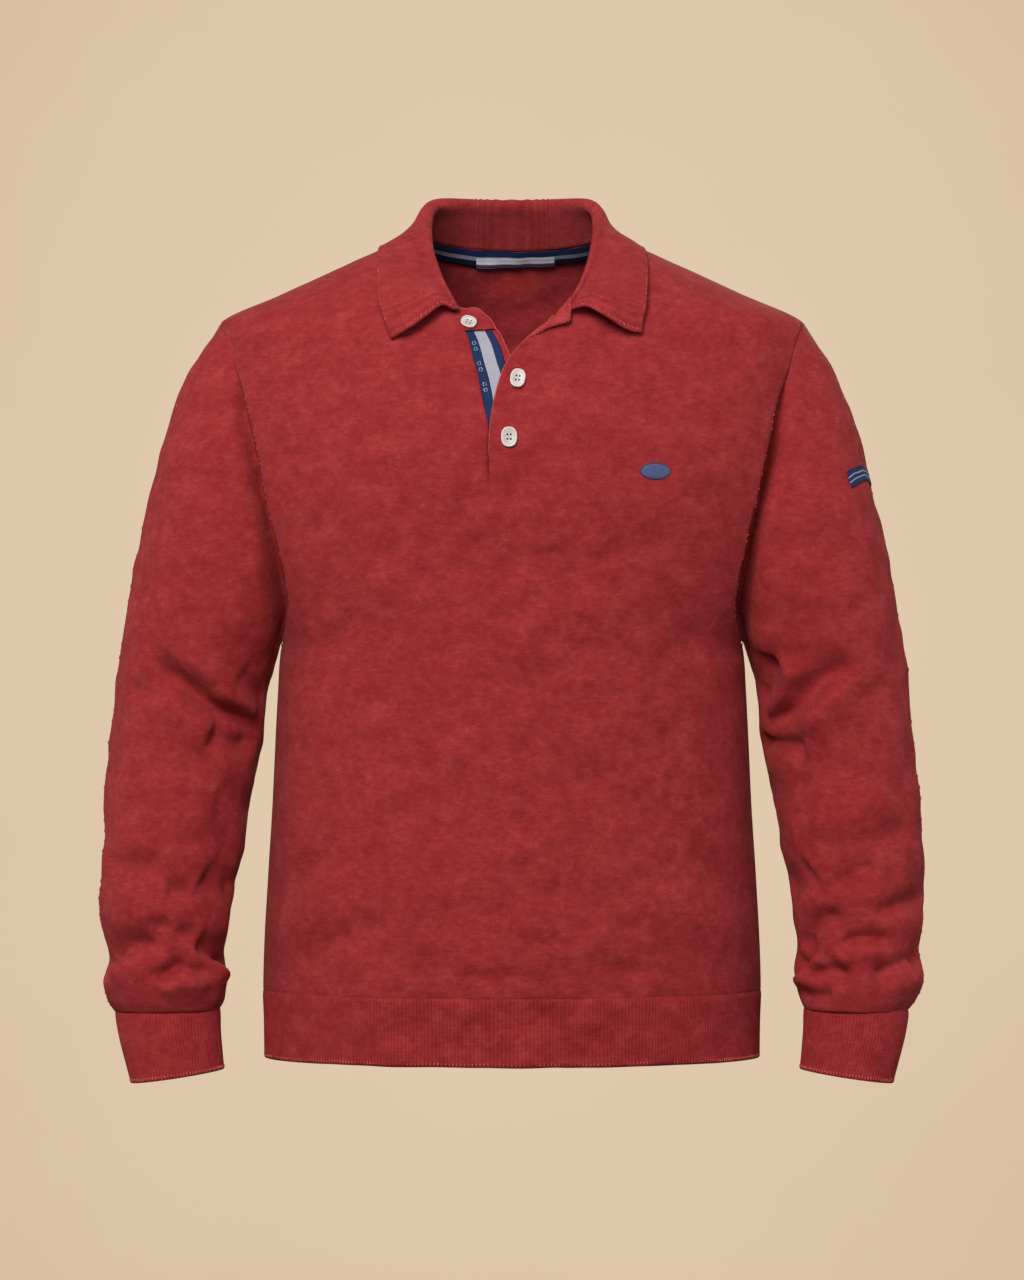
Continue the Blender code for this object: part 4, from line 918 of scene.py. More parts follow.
LEFT_SLEEVE_CREASES = (
    (-0.0066, 0.0098, 0.0055, ((66, -0.3600), (81, -0.3616), (97, -0.3684), (112, -0.3837),
                               (127, -0.3974), (146, -0.4061), (168, -0.4099))),
    (0.0036, 0.0060, 0.0110, ((74, -0.3720), (90, -0.3800), (108, -0.3980), (126, -0.4100))),
    (0.0042, 0.0060, 0.0075, ((120, -0.3510), (128, -0.3659), (140, -0.3847), (165, -0.4030))),
    (-0.0060, 0.0110, 0.0070, ((133, -0.3500), (143, -0.3660), (155, -0.3820), (172, -0.3960))),
    (-0.0026, 0.0070, 0.0055, ((76, -0.3880), (63, -0.3800), (42, -0.3722))),
    (-0.0048, 0.0075, 0.0065, ((184, -0.4230), (160, -0.4262), (132, -0.4275), (117, -0.4262))),
    (-0.0020, 0.0080, 0.0080, ((89, -0.3250), (103, -0.3395), (116, -0.3545))),
    (-0.0038, 0.0090, 0.0090, ((190, -0.3980), (235, -0.3900), (285, -0.4020), (330, -0.3980))),
    (0.0032, 0.0100, 0.0090, ((200, -0.4150), (245, -0.4080), (295, -0.4190))),
    (-0.0028, 0.0070, 0.0060, ((113, -0.5490), (99, -0.5362), (87, -0.5302), (70, -0.5340))),
    (-0.0034, 0.0095, 0.0085, ((184, -0.5500), (150, -0.5380), (130, -0.5265))),
    (-0.0042, 0.0080, 0.0050, ((170, -0.6000), (155, -0.5909), (140, -0.5776), (123, -0.5703),
                               (100, -0.5691))),
    (-0.0034, 0.0080, 0.0060, ((84, -0.5705), (64, -0.5634), (33, -0.5566), (0, -0.5600))),
    (-0.0048, 0.0075, 0.0045, ((121, -0.6005), (104, -0.5920), (89, -0.5885), (72, -0.5886),
                               (53, -0.5898))),
    (0.0028, 0.0060, 0.0080, ((116, -0.6075), (100, -0.6000), (80, -0.5970), (58, -0.5980))),
    (-0.0062, 0.0070, 0.0045, ((138, -0.5930), (148, -0.6020), (160, -0.6120), (185, -0.6180))),
    (0.0036, 0.0045, 0.0075, ((126, -0.6020), (138, -0.6100), (155, -0.6205), (178, -0.6250))),
    (-0.0052, 0.0060, 0.0045, ((154, -0.6245), (136, -0.6171), (122, -0.6150), (110, -0.6172),
                               (98, -0.6215))),
    (-0.0044, 0.0085, 0.0060, ((85, -0.6230), (63, -0.6165), (31, -0.6092), (5, -0.6080))),
    (0.0024, 0.0070, 0.0080, ((70, -0.6290), (45, -0.6230), (20, -0.6180))),
    (-0.0030, 0.0050, 0.0050, ((172, -0.6363), (139, -0.6367), (114, -0.6360))),
    (-0.0045, 0.0075, 0.0055, ((205, -0.5920), (245, -0.5830), (290, -0.5950), (335, -0.5880))),
    (-0.0048, 0.0070, 0.0050, ((220, -0.6200), (262, -0.6120), (305, -0.6220))),
    (0.0028, 0.0080, 0.0080, ((210, -0.6050), (255, -0.5980), (300, -0.6080))),
    (-0.0020, 0.0080, 0.0080, ((30, -0.4950), (65, -0.5040), (100, -0.5000))),
    (0.0016, 0.0120, 0.0120, ((50, -0.4650), (90, -0.4800), (128, -0.4740))),
    (-0.0020, 0.0110, 0.0110, ((235, -0.5050), (280, -0.5160), (318, -0.5080))),
    (-0.0014, 0.0120, 0.0120, ((110, -0.4500), (145, -0.4600), (180, -0.4680))),
)


def crease_lift(creases, degrees, z, turn):
    """How far the creases push a sleeve out; turn is the metres in one degree round it."""
    lift = np.zeros(degrees.shape)
    for rise, above, below, line in creases:
        line = smooth_path(line, 5)
        nearest = np.full(degrees.shape, 9.0)
        side = np.zeros(degrees.shape)
        place = np.zeros(degrees.shape)
        for wrap in (-360.0, 0.0, 360.0):
            for index, (start, end) in enumerate(zip(line, line[1:])):
                run_x = (end[0] - start[0]) * turn
                run_z = end[1] - start[1]
                reach_x = (degrees + wrap - start[0]) * turn
                reach_z = z - start[1]
                part = (reach_x * run_x + reach_z * run_z) / (run_x ** 2 + run_z ** 2)
                part = np.clip(part, 0.0, 1.0)
                gap = np.hypot(reach_x - run_x * part, reach_z - run_z * part)
                closer = gap < nearest
                nearest = np.where(closer, gap, nearest)
                side = np.where(closer, reach_z * np.sign(run_x) - run_z * reach_x
                                / (np.abs(run_x) + 1e-6), side)
                place = np.where(closer, (index + part) / (len(line) - 1), place)
        spread = CREASE_WIDTH * np.where(side > 0, above, below)
        fade = np.clip(np.minimum(place, 1 - place) / 0.22, 0.0, 1.0)
        fade = fade * fade * (3 - 2 * fade)
        lift = lift + CREASE_DEPTH * rise * fade * np.exp(-(nearest / spread) ** 2)
    return lift


def ring_grid(rings, side, creases=()):
    """The points of many rings, each a row round the sleeve or the cuff."""
    outer_x, outer_z, inner_x, inner_z, middle_y, front_deep, back_deep = rings.T[..., None]
    angle = np.arange(SLEEVE_SIDES) * math.tau / SLEEVE_SIDES
    depth = np.where(np.sin(angle) >= 0, front_deep, back_deep)
    middle = np.stack(np.broadcast_arrays(side * (outer_x + inner_x) / 2, middle_y,
                                          (outer_z + inner_z) / 2), -1)
    arm = np.stack(np.broadcast_arrays(side * (outer_x - inner_x) / 2 * np.cos(angle),
                                       -depth * np.sin(angle),
                                       (outer_z - inner_z) / 2 * np.cos(angle)), -1)
    grid = middle + arm
    degrees = np.broadcast_to(np.degrees(angle), grid.shape[:2])
    if len(creases):
        lift = crease_lift(creases, degrees, grid[..., 2], np.radians(depth))
        lift = lift + slack(grid[..., 1] * 1.3 + grid[..., 0] * 0.5, grid[..., 2], 31 + side)
        length = np.linalg.norm(arm, axis=-1, keepdims=True)
        grid = grid + arm / length * lift[..., None]
    return grid


def armhole_shift(side):
    """From the first ring's own oval to the armhole seam, at each point round it."""
    ring = ring_grid(SLEEVE_RINGS[:1], side)[0]
    angle = np.arange(SLEEVE_SIDES) * math.tau / SLEEVE_SIDES
    height = UNDERARM_HEIGHT + (SHOULDER_TIP[1] - UNDERARM_HEIGHT) * (1 + np.cos(angle)) / 2
    seam = smooth_path(ARMHOLE)
    across = np.interp(height, seam[:, 1], seam[:, 0])
    shift = np.zeros(ring.shape)
    for face, part in ((-1, np.sin(angle) > 0.01), (1, np.sin(angle) < -0.01)):
        inward = 0.0015 + 0.0035 * np.clip(np.sin(np.abs(angle[part])), 0, 1)
        tuck = np.interp(-np.cos(angle[part]), (-1.0, 0.2), SLEEVE_TUCK)
        on_form = on_body(side * (across[part] - inward), height[part], face, -tuck)
        shift[part] = on_form - ring[part]
    ends = np.abs(np.sin(angle)) <= 0.01
    shift[ends, 0] = -side * SLEEVE_TUCK[0]
    return shift


def tube_places(grid, shift=0.0):
    """Each point's place on the knit of a tube in metres, round it and down it."""
    around = np.linalg.norm(np.diff(np.concatenate((grid, grid[:, :1]), 1), axis=1), axis=-1)
    girth = around.sum(1).mean()
    share = np.concatenate(([0.0], np.cumsum(around.mean(0))))[:-1] / around.mean(0).sum()
    down = np.linalg.norm(np.diff(grid.mean(1), axis=0), axis=-1)
    down = np.concatenate(([0.0], np.cumsum(down)))
    return np.stack(np.broadcast_arrays(girth * share[None, :], shift - down[:, None]), -1), girth


def tube_out(grid):
    """The direction away from a tube's middle line at each of its points."""
    outward = surface_out(grid, tube=True)
    return outward * np.sign(np.sum(outward * (grid - grid.mean(1, keepdims=True)), -1,
                                    keepdims=True))


def armhole_stitches_and_rim_highlight(name, grid, side):
    """Light stitches along the armhole's edge, and sparser ones down the sleeve's outer line, a
    painted highlight for the light fuzz along its rim.
    """
    chance = np.random.default_rng(40 + side)
    points = []
    outs = []
    lows = []
    line = spread_along([(side * x, z) for x, z in ARMHOLE], np.linspace(0, 1, 400))
    line = line[(line[:, 1] > -0.315) & (line[:, 1] < -0.125)]
    length = np.linalg.norm(np.diff(line, axis=0), axis=1).sum()
    spot = 0.0
    while spot < length:
        x, z = line[int(spot / length * (len(line) - 1))]
        inset = chance.uniform(0.0022, 0.0034)
        lift = CLOTH_WALL / 2 + 0.0002 - armhole_roll(z, inset)
        points.append(on_body(x - side * inset, z, -1, lift))
        outs.append(on_body(x - side * inset, z, -1, 0.01) - on_body(x - side * inset, z, -1))
        lows.append((side * chance.uniform(0.2, 1.1), 0.0, chance.choice((-1.0, -1.0, 1.0))))
        spot += chance.uniform(0.0032, 0.0075)
    outward = tube_out(grid)
    # Painted highlight: light yarn stitches down the outer line stand in for the light fuzz where
    # the sleeve turns away.
    for row in range(6, len(grid) - 3, 2):
        column = chance.integers(2, 5)
        if chance.uniform() < 0.25:
            continue
        along = grid[row + 1, column] - grid[row, column]
        around = grid[row, column + 1] - grid[row, column]
        along /= np.linalg.norm(along)
        around /= np.linalg.norm(around)
        points.append(grid[row, column] + outward[row, column] * (CLOTH_WALL / 2 + 0.0002))
        outs.append(outward[row, column])
        lows.append(along + around * chance.uniform(-0.4, 1.2))
    return stitch_row(name, points, outs, lows, WHIP_STITCH, BINDING)


def sleeve(name, side, creases, cad_node):
    """One sleeve, from the armhole seam down to the cuff."""
    rings = smooth_path(SLEEVE_RINGS, RING_STEPS)
    grid = ring_grid(rings, side, creases)
    fade = np.clip(1.0 - np.arange(len(rings)) / (RING_STEPS * ARMHOLE_RINGS), 0.0, 1.0)
    grid = grid + armhole_shift(side)[None] * fade[:, None, None]
    angle = np.arange(SLEEVE_SIDES) * math.tau / SLEEVE_SIDES
    away = np.linalg.norm(np.diff(grid, axis=0), axis=-1)
    away = np.concatenate((np.zeros((1, SLEEVE_SIDES)), np.cumsum(away, axis=0)))
    deep = np.interp(grid[0, :, 2], SLEEVE_HOLLOW[:, 0], SLEEVE_HOLLOW[:, 1])
    reach = np.interp(grid[0, :, 2], SLEEVE_HOLLOW[:, 0], SLEEVE_HOLLOW[:, 2])
    deep = deep * np.where(np.sin(angle) > 0, 1.0, BACK_HOLLOW_SHARE)
    start = (ARMHOLE_ROLL + 0.0010) / np.maximum(deep, ARMHOLE_ROLL + 0.0010)
    rise = 1 - (1 - start) * np.exp(-(away / HOLLOW_START) ** 2)
    past = np.clip(away - HOLLOW_START, 0.0, None)
    sink = deep * rise * np.exp(-(past / reach) ** 2)
    middle = grid[:, :1, 1] / 2 + grid[:, SLEEVE_SIDES // 2:SLEEVE_SIDES // 2 + 1, 1] / 2
    sink = np.minimum(sink, 0.72 * np.abs(grid[..., 1] - middle))
    grid[..., 1] += sink * np.sign(middle - grid[..., 1])
    inward = grid.mean(1, keepdims=True) - grid
    inward /= np.linalg.norm(inward, axis=-1, keepdims=True)
    curl = EDGE_CURL * np.exp(-((len(rings) - 1 - np.arange(len(rings))) / 1.2) ** 2)
    grid = grid + inward * curl[:, None, None]
    spots, girth = tube_places(grid)
    piece = cloth_piece(name, [grid], [spots], CLOTH_WALL, KNIT, tube=girth)
    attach(piece, "root")
    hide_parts(cad_node)
    stitches = armhole_stitches_and_rim_highlight(name + "_stitches", grid, side)
    return grid


sleeve("right_sleeve", -1, RIGHT_SLEEVE_CREASES, "sleeve_right")
left_grid = sleeve("left_sleeve", 1, LEFT_SLEEVE_CREASES, "sleeve_left")


# ---- the cuffs ----------------------------------------------------------------------------
# Tubes of the same rib as the hem, 60 mm deep, that close in below the sleeve's fulness and
# end in the same bound edge.
CUFF_RINGS = np.array((
    (0.3362, -0.6484, 0.2515, -0.6470, -0.029, 0.0370, 0.0370),
    (0.3372, -0.6560, 0.2504, -0.6540, -0.029, 0.0382, 0.0382),
    (0.3340, -0.6740, 0.2500, -0.6690, -0.031, 0.0370, 0.0370),
    (0.3290, -0.6930, 0.2486, -0.6850, -0.033, 0.0355, 0.0355),
    (0.3236, -0.7125, 0.2470, -0.7010, -0.035, 0.0345, 0.0345),
))
CUFF_RIBS = 92
CUFF_STEPS = 6
CUFF_SIDES = CUFF_RIBS * 4


def cuff(name, side, cad_node):
    """One cuff, a ribbed tube on the sleeve's end."""
    rings = smooth_path(CUFF_RINGS, CUFF_STEPS)
    coarse = ring_grid(rings, side)
    turn = np.arange(CUFF_SIDES) / CUFF_SIDES * SLEEVE_SIDES
    low = turn.astype(int)
    grid = (coarse[:, low] * (1 - (turn - low))[None, :, None]
            + coarse[:, (low + 1) % SLEEVE_SIDES] * (turn - low)[None, :, None])
    outward = tube_out(grid)
    share = np.linspace(0, 1, len(rings))[:, None]
    strength = np.clip(np.minimum(share / 0.15, (1 - share) / 0.05), 0.0, 1.0)
    wave = np.cos(np.arange(CUFF_SIDES) * math.tau / 4)[None, :] * strength
    grid = grid + outward * (RIB_RELIEF / 2 * wave)[..., None]
    spots, girth = tube_places(grid)
    spots[..., 0] = np.arange(CUFF_SIDES)[None] / 4 * RIB_PITCH
    band = cloth_piece(name, [grid], [spots], RIB_WALL, RIB, tube=CUFF_RIBS * RIB_PITCH)
    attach(band, "root")
    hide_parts(cad_node)
    low_way = grid[-1] - grid[-2]
    low_way /= np.linalg.norm(low_way, axis=-1, keepdims=True)
    edge = grid[-1] + outward[-1] * (RIB_WALL / 2 - 0.0001) - low_way * 0.0024
    seam = stitch_row(name + "_edge", edge, outward[-1], low_way, EDGE_STITCH, BINDING, 4)


cuff("right_cuff", -1, "cuff_right")
cuff("left_cuff", 1, "cuff_left")


# ---- the collar ---------------------------------------------------------------------------
# One band of fine 1x1 rib, linked to the neckline and folded over in a soft roll all round. Its
# leaves spread flat over the shoulders, and their front edges lift a little off the chest.
COLLAR_WALL = 0.0022
COLLAR_RISE = 0.0004         # from the panels' neckline up to the collar's seam edge
COLLAR_INSET = 0.0014        # and in towards the neck
COLLAR_SWELL = 0.0060        # how far a leaf's middle stands off a straight line
COLLAR_RIBS = 204
COLLAR_PITCH = 0.0022
COLLAR_RELIEF = 0.00085
COLLAR_STEPS = 4
COLLAR_STITCH = (0.0011, 0.0038, 0.0009)
# Stations from the centre back to the front end, on the wearer's left: the face of the body
# (-1 front), the seam across and up, the fold's point, the free edge across and up and its
# height off the cloth, the half width of the roll, and the share of the swell.
COLLAR_STATIONS = (
    (1, 0.0000, 0.0040, 0.0000, 0.0800, 0.0488, 0.0000, -0.0100, 0.0042, 0.0046, 0.50),
    (1, 0.0400, 0.0057, 0.0390, 0.0745, 0.0490, 0.0470, -0.0105, 0.0042, 0.0048, 0.30),
    (1, 0.0700, 0.0093, 0.0640, 0.0500, 0.0470, 0.0860, -0.0080, 0.0042, 0.0060, -0.35),
    (1, 0.0830, 0.0115, 0.0735, 0.0220, 0.0395, 0.1050, -0.0008, 0.0042, 0.0060, -0.85),
    (-1, 0.0857, 0.0090, 0.0742, -0.0120, 0.0262, 0.1120, -0.0035, 0.0034, 0.0046, -0.12),
    (-1, 0.0838, -0.0040, 0.0722, -0.0400, 0.0080, 0.1128, -0.0150, 0.0040, 0.0036, 0.10),
    (-1, 0.0795, -0.0190, 0.0680, -0.0620, -0.0105, 0.1122, -0.0290, 0.0050, 0.0030, 0.50),
    (-1, 0.0720, -0.0350, 0.0610, -0.0815, -0.0295, 0.1120, -0.0430, 0.0062, 0.0024, 0.90),
    (-1, 0.0605, -0.0485, 0.0535, -0.0985, -0.0440, 0.1097, -0.0600, 0.0068, 0.0020, 1.20),
    (-1, 0.0480, -0.0598, 0.0465, -0.1080, -0.0560, 0.1008, -0.0838, 0.0050, 0.0017, 1.30),
)
LEFT_LEAF_WIDER = (0.0, 0.0, 0.0, 0.0, 0.0, 0.0008, 0.0015, 0.0010, 0.0017, 0.0071)
LEFT_LEAF_HIGHER = (0.0, 0.0, 0.0, 0.0, 0.0, 0.0, 0.0, 0.0010, 0.0020, 0.0049)
# Where each leaf's front end lies between the fold and its tip: the share of the way, then
# across, up and off the body, on the wearer's right and left. It arches off the chest.
LEAF_END_SHARES = (0.22, 0.45, 0.70, 0.88)
RIGHT_LEAF_END = ((-0.0572, -0.0597, 0.0125), (-0.0690, -0.0678, 0.0150),
                  (-0.0822, -0.0766, 0.0125), (-0.0930, -0.0812, 0.0085))
LEFT_LEAF_END = ((0.0600, -0.0622, 0.0140), (0.0720, -0.0690, 0.0165),
                 (0.0860, -0.0750, 0.0135), (0.0985, -0.0786, 0.0090))
LEAF_END_REACH = 0.055


def collar_lines():
    """The seam, the fold, the free edge and the roll's size along the whole collar, in one."""
    half = [(-1, index) for index in range(len(COLLAR_STATIONS) - 1, 0, -1)]
    half += [(1, index) for index in range(len(COLLAR_STATIONS))]
    stations = []
    for side, index in half:
        (face, seam_x, seam_z, fold_x, fold_y, fold_z,
         edge_x, edge_z, lift, turn, swell) = COLLAR_STATIONS[index]
        if side > 0:
            edge_x += LEFT_LEAF_WIDER[index]
            edge_z += LEFT_LEAF_HIGHER[index]
        seam = on_body(side * seam_x, seam_z, face)
        inward = np.array((-seam[0], -seam[1], 0.0)) / np.hypot(seam[0], seam[1])
        seam = seam + inward * COLLAR_INSET + np.array((0.0, 0.0, COLLAR_RISE))
        edge = on_body(side * edge_x, edge_z, face, lift)
        stations.append(np.concatenate((seam, (side * fold_x, fold_y, fold_z), edge,
                                        (turn, swell))))
    return spread_along(stations, np.linspace(0, 1, COLLAR_RIBS * 4 + 1))


def collar_grid():
    """Rows across the collar, from its seam over the fold to the free edge."""
    lines = collar_lines()
    seam, fold, edge, turn = lines[:, 0:3], lines[:, 3:6], lines[:, 6:9], lines[:, 9:10]
    down = np.array((0.0, 0.0, -1.0))
    away = (edge - seam) * (1.0, 1.0, 0.0)
    away /= np.linalg.norm(away, axis=1, keepdims=True)
    inner = fold + (down - away) * turn
    outer = fold + (down + away) * turn
    swell = np.cross(edge - outer, np.stack((-away[:, 1], away[:, 0], 0 * away[:, 0]), -1))
    swell /= np.linalg.norm(swell, axis=1, keepdims=True)
    swell *= np.sign(np.sum(swell * away, axis=1, keepdims=True))
    shares = np.linspace(0, 1, len(lines))[:, None]
    recess = np.abs(np.linspace(-1, 1, len(lines)))[:, None] < 0.62
    recess = np.where(recess, 0.0024, 0.0)
    rows = [seam, seam * 0.66 + inner * 0.34 + away * recess * 0.7,
            seam * 0.30 + inner * 0.70 + away * recess, inner, fold, outer]
    for part, right_end, left_end in zip(LEAF_END_SHARES, RIGHT_LEAF_END, LEFT_LEAF_END):
        leaf = outer * (1 - part) + edge * part
        leaf = leaf + swell * COLLAR_SWELL * lines[:, 10:] * math.sin(math.pi * part) ** 0.8
        right_shift = on_body(right_end[0], right_end[1], -1, right_end[2]) - leaf[0]
        left_shift = on_body(left_end[0], left_end[1], -1, left_end[2]) - leaf[-1]
        rows.append(leaf + right_shift * np.exp(-(shares / LEAF_END_REACH) ** 2)
                    + left_shift * np.exp(-((1 - shares) / LEAF_END_REACH) ** 2))
    rows.append(edge)
    packed = smooth_path(np.array(rows).reshape(len(rows), -1), COLLAR_STEPS)
    return packed.reshape(len(packed), len(lines), 3)


def collar_groove_shade(tree):
    """The same painted shade between the collar's finer ribs."""
    return rib_groove_shade(tree, COLLAR_PITCH, 0.28)


grid = collar_grid()
rows, columns = grid.shape[:2]
outward = surface_out(grid)
fold_row = np.argmax(grid[:, columns // 2, 2])
outward *= np.sign(outward[fold_row:fold_row + 1, :, 2:3])
off_fold = np.abs(np.arange(rows) - fold_row)[:, None]
wave = np.cos(np.arange(columns) * math.tau / 4)[None, :]
wave = wave * (0.15 + 0.85 * np.exp(-(off_fold / 4.0) ** 2))
grid = grid + outward * (COLLAR_RELIEF / 2 * wave)[..., None]
loose = np.clip(off_fold / 12.0, 0.0, 1.0)
grid = grid + outward * (loose * slack(grid[..., 0], grid[..., 2], 57))[..., None]
down_collar = np.concatenate(([0.0], np.cumsum(np.linalg.norm(np.diff(grid, axis=0), axis=-1)
                                               .mean(1))))
fold_down = down_collar[fold_row]


def collar_stand_painted_shade(tree):
    """Painted shade on the stand's inner side, which lies in shadow below the roll: how bright each
    point is, up to 1.
    """
    inside = math_node(tree, "ADD", stitch_place(tree)[1], fold_down - 0.0020)
    share = node(tree, "ShaderNodeMapRange", {"interpolation_type": "SMOOTHSTEP"},
                 {"Value": inside, "From Min": 0.0, "From Max": 0.0110,
                  "To Min": 1.0, "To Max": 0.50})
    return share.outputs["Result"]


# The collar's colour is darkened on the stand's inner side, painted shade for the shadow below the
# roll.
COLLAR_RIB = yarn_finish("collar_red", (0.345, 0.0310, 0.0340), (0.465, 0.0620, 0.0650),
                         (0.250, 0.0160, 0.0190), rib_height, 2.3, collar_groove_shade, collar_stand_painted_shade)
spots = np.stack(np.broadcast_arrays(np.arange(columns)[None, :] / 4 * COLLAR_PITCH,
                                     -down_collar[:, None]), -1)
collar = cloth_piece("collar_band", [grid], [spots], COLLAR_WALL, COLLAR_RIB)
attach(collar, "root")
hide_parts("collar")

# Light overlock stitches, close along the leaves' front ends and sparse along the free edge.
edge_points = []
edge_out = []
edge_low = []
chance = np.random.default_rng(5)
for column in range(6, columns - 6, 10):
    along = grid[-2, column + 2] - grid[-2, column - 2]
    back_in = grid[-3, column] - grid[-2, column]
    if chance.uniform() < 0.45:
        continue
    edge_points.append(grid[-2, column] * 0.75 + grid[-1, column] * 0.25)
    edge_out.append(outward[-2, column])
    edge_low.append(along / np.linalg.norm(along) * 0.9 + back_in / np.linalg.norm(back_in) * 0.3)
for column, next_in in ((1, 5), (columns - 2, columns - 6)):
    leaf_rows = grid[fold_row + 5:-1, column]
    reach = np.concatenate(([0.0], np.cumsum(np.linalg.norm(np.diff(leaf_rows, axis=0), axis=1))))
    spot = 0.001
    while spot < reach[-1]:
        row = fold_row + 5 + min(np.searchsorted(reach, spot), len(leaf_rows) - 1)
        point = np.array([np.interp(spot, reach, leaf_rows[:, axis]) for axis in range(3)])
        into = grid[row, next_in] - grid[row, column]
        into /= np.linalg.norm(into)
        along = grid[row, column] - grid[row - 1, column]
        along /= np.linalg.norm(along)
        edge_points.append(point + into * chance.uniform(0.0004, 0.0012))
        edge_out.append(outward[row, column])
        edge_low.append(along - into * chance.uniform(0.1, 1.0))
        spot += chance.uniform(0.0030, 0.0052)
edge_points = np.array(edge_points) + np.array(edge_out) * (COLLAR_WALL / 2)
collar_edge = stitch_row("collar_edge", edge_points, edge_out, edge_low, COLLAR_STITCH,
                         BINDING)


# ---- the placket --------------------------------------------------------------------------
# The right front runs on under the left as a button stand. Above its tape it lies level with the
# front, as a flap with a rounded corner, and its free edge is rolled over in a lighter line.
FLAP_END_HEIGHT = -0.0764
STAND_DEPTH = 0.0031         # from the front's middle down to the stand's
STAND_TOP_HEIGHT = -0.0690
STAND_BOTTOM_HEIGHT = -0.1985
STAND_LAP = 0.0060
STAND_EDGE = (
    (0.0040, -0.2000),
    (0.0030, -0.1450),
    (0.0006, -0.1120),
    (-0.0017, -0.0969),
    (-0.0049, -0.0889),
    (-0.0097, -0.0792),
    (-0.0139, -0.0739),
    (-0.0155, -0.0701),
    (-0.0188, -0.0654),
    (-0.0241, -0.0606),
    (-0.0284, -0.0572),
)
FLAP_TOP = (
    (-0.0284, -0.0572),
    (-0.0333, -0.0562),
    (-0.0375, -0.0568),
    (-0.0428, -0.0566),
    (-0.0447, -0.0552),
)
PLACKET_COLUMNS = 26
PLACKET_STITCH = (0.0008, 0.0026, 0.0007)


def edge_at(edge, heights):
    """Where across the body an edge lies at each of the heights given."""
    path = smooth_path(edge)
    order = np.argsort(path[:, 1])
    return np.interp(heights, path[order, 1], path[order, 0])


def strip_flat(left, right, columns):
    """Rows of points between two edges, each a list of (across, up) points."""
    share = np.linspace(0, 1, columns + 1)[None, :, None]
    return left[:, None] * (1 - share) + right[:, None] * share


heights = np.linspace(STAND_BOTTOM_HEIGHT, STAND_TOP_HEIGHT, 60)
left = np.stack((edge_at(UNDER_EDGE, heights) - STAND_LAP, heights), -1)
right = np.stack((edge_at(STAND_EDGE, heights), heights), -1)
flat = strip_flat(left, right, PLACKET_COLUMNS)
dip = np.clip((TAPE_END_HEIGHT - flat[..., 1]) / 0.012, 0.0, 1.0) * 0.0030
stand = cloth_piece("button_stand", [on_body(flat[..., 0], flat[..., 1], -1, -STAND_DEPTH - dip)],
                    [stitch_places(flat, -1)], CLOTH_WALL, KNIT)
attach(stand, "root")
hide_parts("placket_under")

# The flap's rows are level at its foot and follow its rounded top above.
share = np.linspace(0, 1, 25)
left = np.stack((edge_at(UNDER_EDGE, FLAP_END_HEIGHT + share * 0.0205) - 0.0003,
                 FLAP_END_HEIGHT + share * 0.0205), -1)
right = spread_along([point for point in STAND_EDGE if point[1] > -0.0775], share)
top = spread_along(FLAP_TOP[::-1], np.linspace(0, 1, PLACKET_COLUMNS + 1))
foot = np.stack((np.linspace(left[0, 0], right[0, 0], PLACKET_COLUMNS + 1),
                 np.linspace(left[0, 1], right[0, 1], PLACKET_COLUMNS + 1)), -1)
left[-1] = top[0]
right[-1] = top[-1]
flat = fill_between(foot, top, left, right)
lift = np.full(flat.shape[:2], -0.0003)
lift[:, -4:] -= np.array((0.0001, 0.0004, 0.0009, 0.0016))
flap = cloth_piece("button_flap", [on_body(flat[..., 0], flat[..., 1], -1, lift)],
                   [stitch_places(flat, -1)], CLOTH_WALL, KNIT)
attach(flap, "root")

heights = np.linspace(-0.1240, STAND_EDGE[6][1], 40)
low_edge = np.stack((edge_at(STAND_EDGE, heights), heights), -1)
rolled = np.vstack((low_edge, spread_along(STAND_EDGE[6:] + FLAP_TOP[1:],
                                           np.linspace(0.03, 1, 60))))
rise = np.clip((rolled[:, 1] + 0.0830) / 0.0080, 0.0, 1.0)
stand_roll = cord("button_stand_edge",
                  on_body(rolled[:, 0], rolled[:, 1], -1, -STAND_DEPTH + 0.0010 + rise * 0.0024),
                  0.00062, BINDING)

# The left front's top edge turns outwards in a small roll that grows towards the collar. Its knit
# is a lighter copy of the front's, a painted highlight where the roll catches the light.
ROLL_UPPER = (
    (0.0130, -0.0822),
    (0.0226, -0.0742),
    (0.0302, -0.0690),
    (0.0361, -0.0650),
    (0.0392, -0.0603),
    (0.0422, -0.0570),
    (0.0464, -0.0530),
    (0.0490, -0.0496),
)
ROLL_LOWER = (
    (0.0134, -0.0830),
    (0.0232, -0.0780),
    (0.0303, -0.0742),
    (0.0360, -0.0726),
    (0.0412, -0.0714),
    (0.0456, -0.0709),
    (0.0480, -0.0688),
    (0.0488, -0.0610),
)
# Painted highlight: the same knit in paler reds, as if lit more strongly than the front.
FRONT_ROLL_HIGHLIGHT = yarn_finish("front_roll_painted_highlight", (0.400, 0.0390, 0.0420), (0.530, 0.0760, 0.0780),
                         (0.285, 0.0190, 0.0220), jersey_height, 3.1)
share = np.linspace(0, 1, 61)
upper = spread_along(ROLL_UPPER, share)
lower = spread_along(ROLL_LOWER, share)
flat = strip_flat(upper, lower, 10)
across = np.linspace(0, 1, 11)[None, :]
grow = share[:, None]
lift = 0.0006 + grow * 0.0040 + np.sin(across * math.pi * 0.75) * (0.0010 + grow * 0.0030)
front_roll = cloth_piece("front_roll", [on_body(flat[..., 0], flat[..., 1], -1, lift)],
                         [stitch_places(flat, -1)], 0.0016, FRONT_ROLL_HIGHLIGHT)
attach(front_roll, "root")

over_path = spread_along(OVER_EDGE, np.linspace(0.10, 0.80, 90))
over_lift = OVERLAP_LIFT + 0.0007
over_roll = cord("front_edge", on_body(over_path[:, 0] + 0.0003, over_path[:, 1], -1, over_lift),
                 0.00055, BINDING)

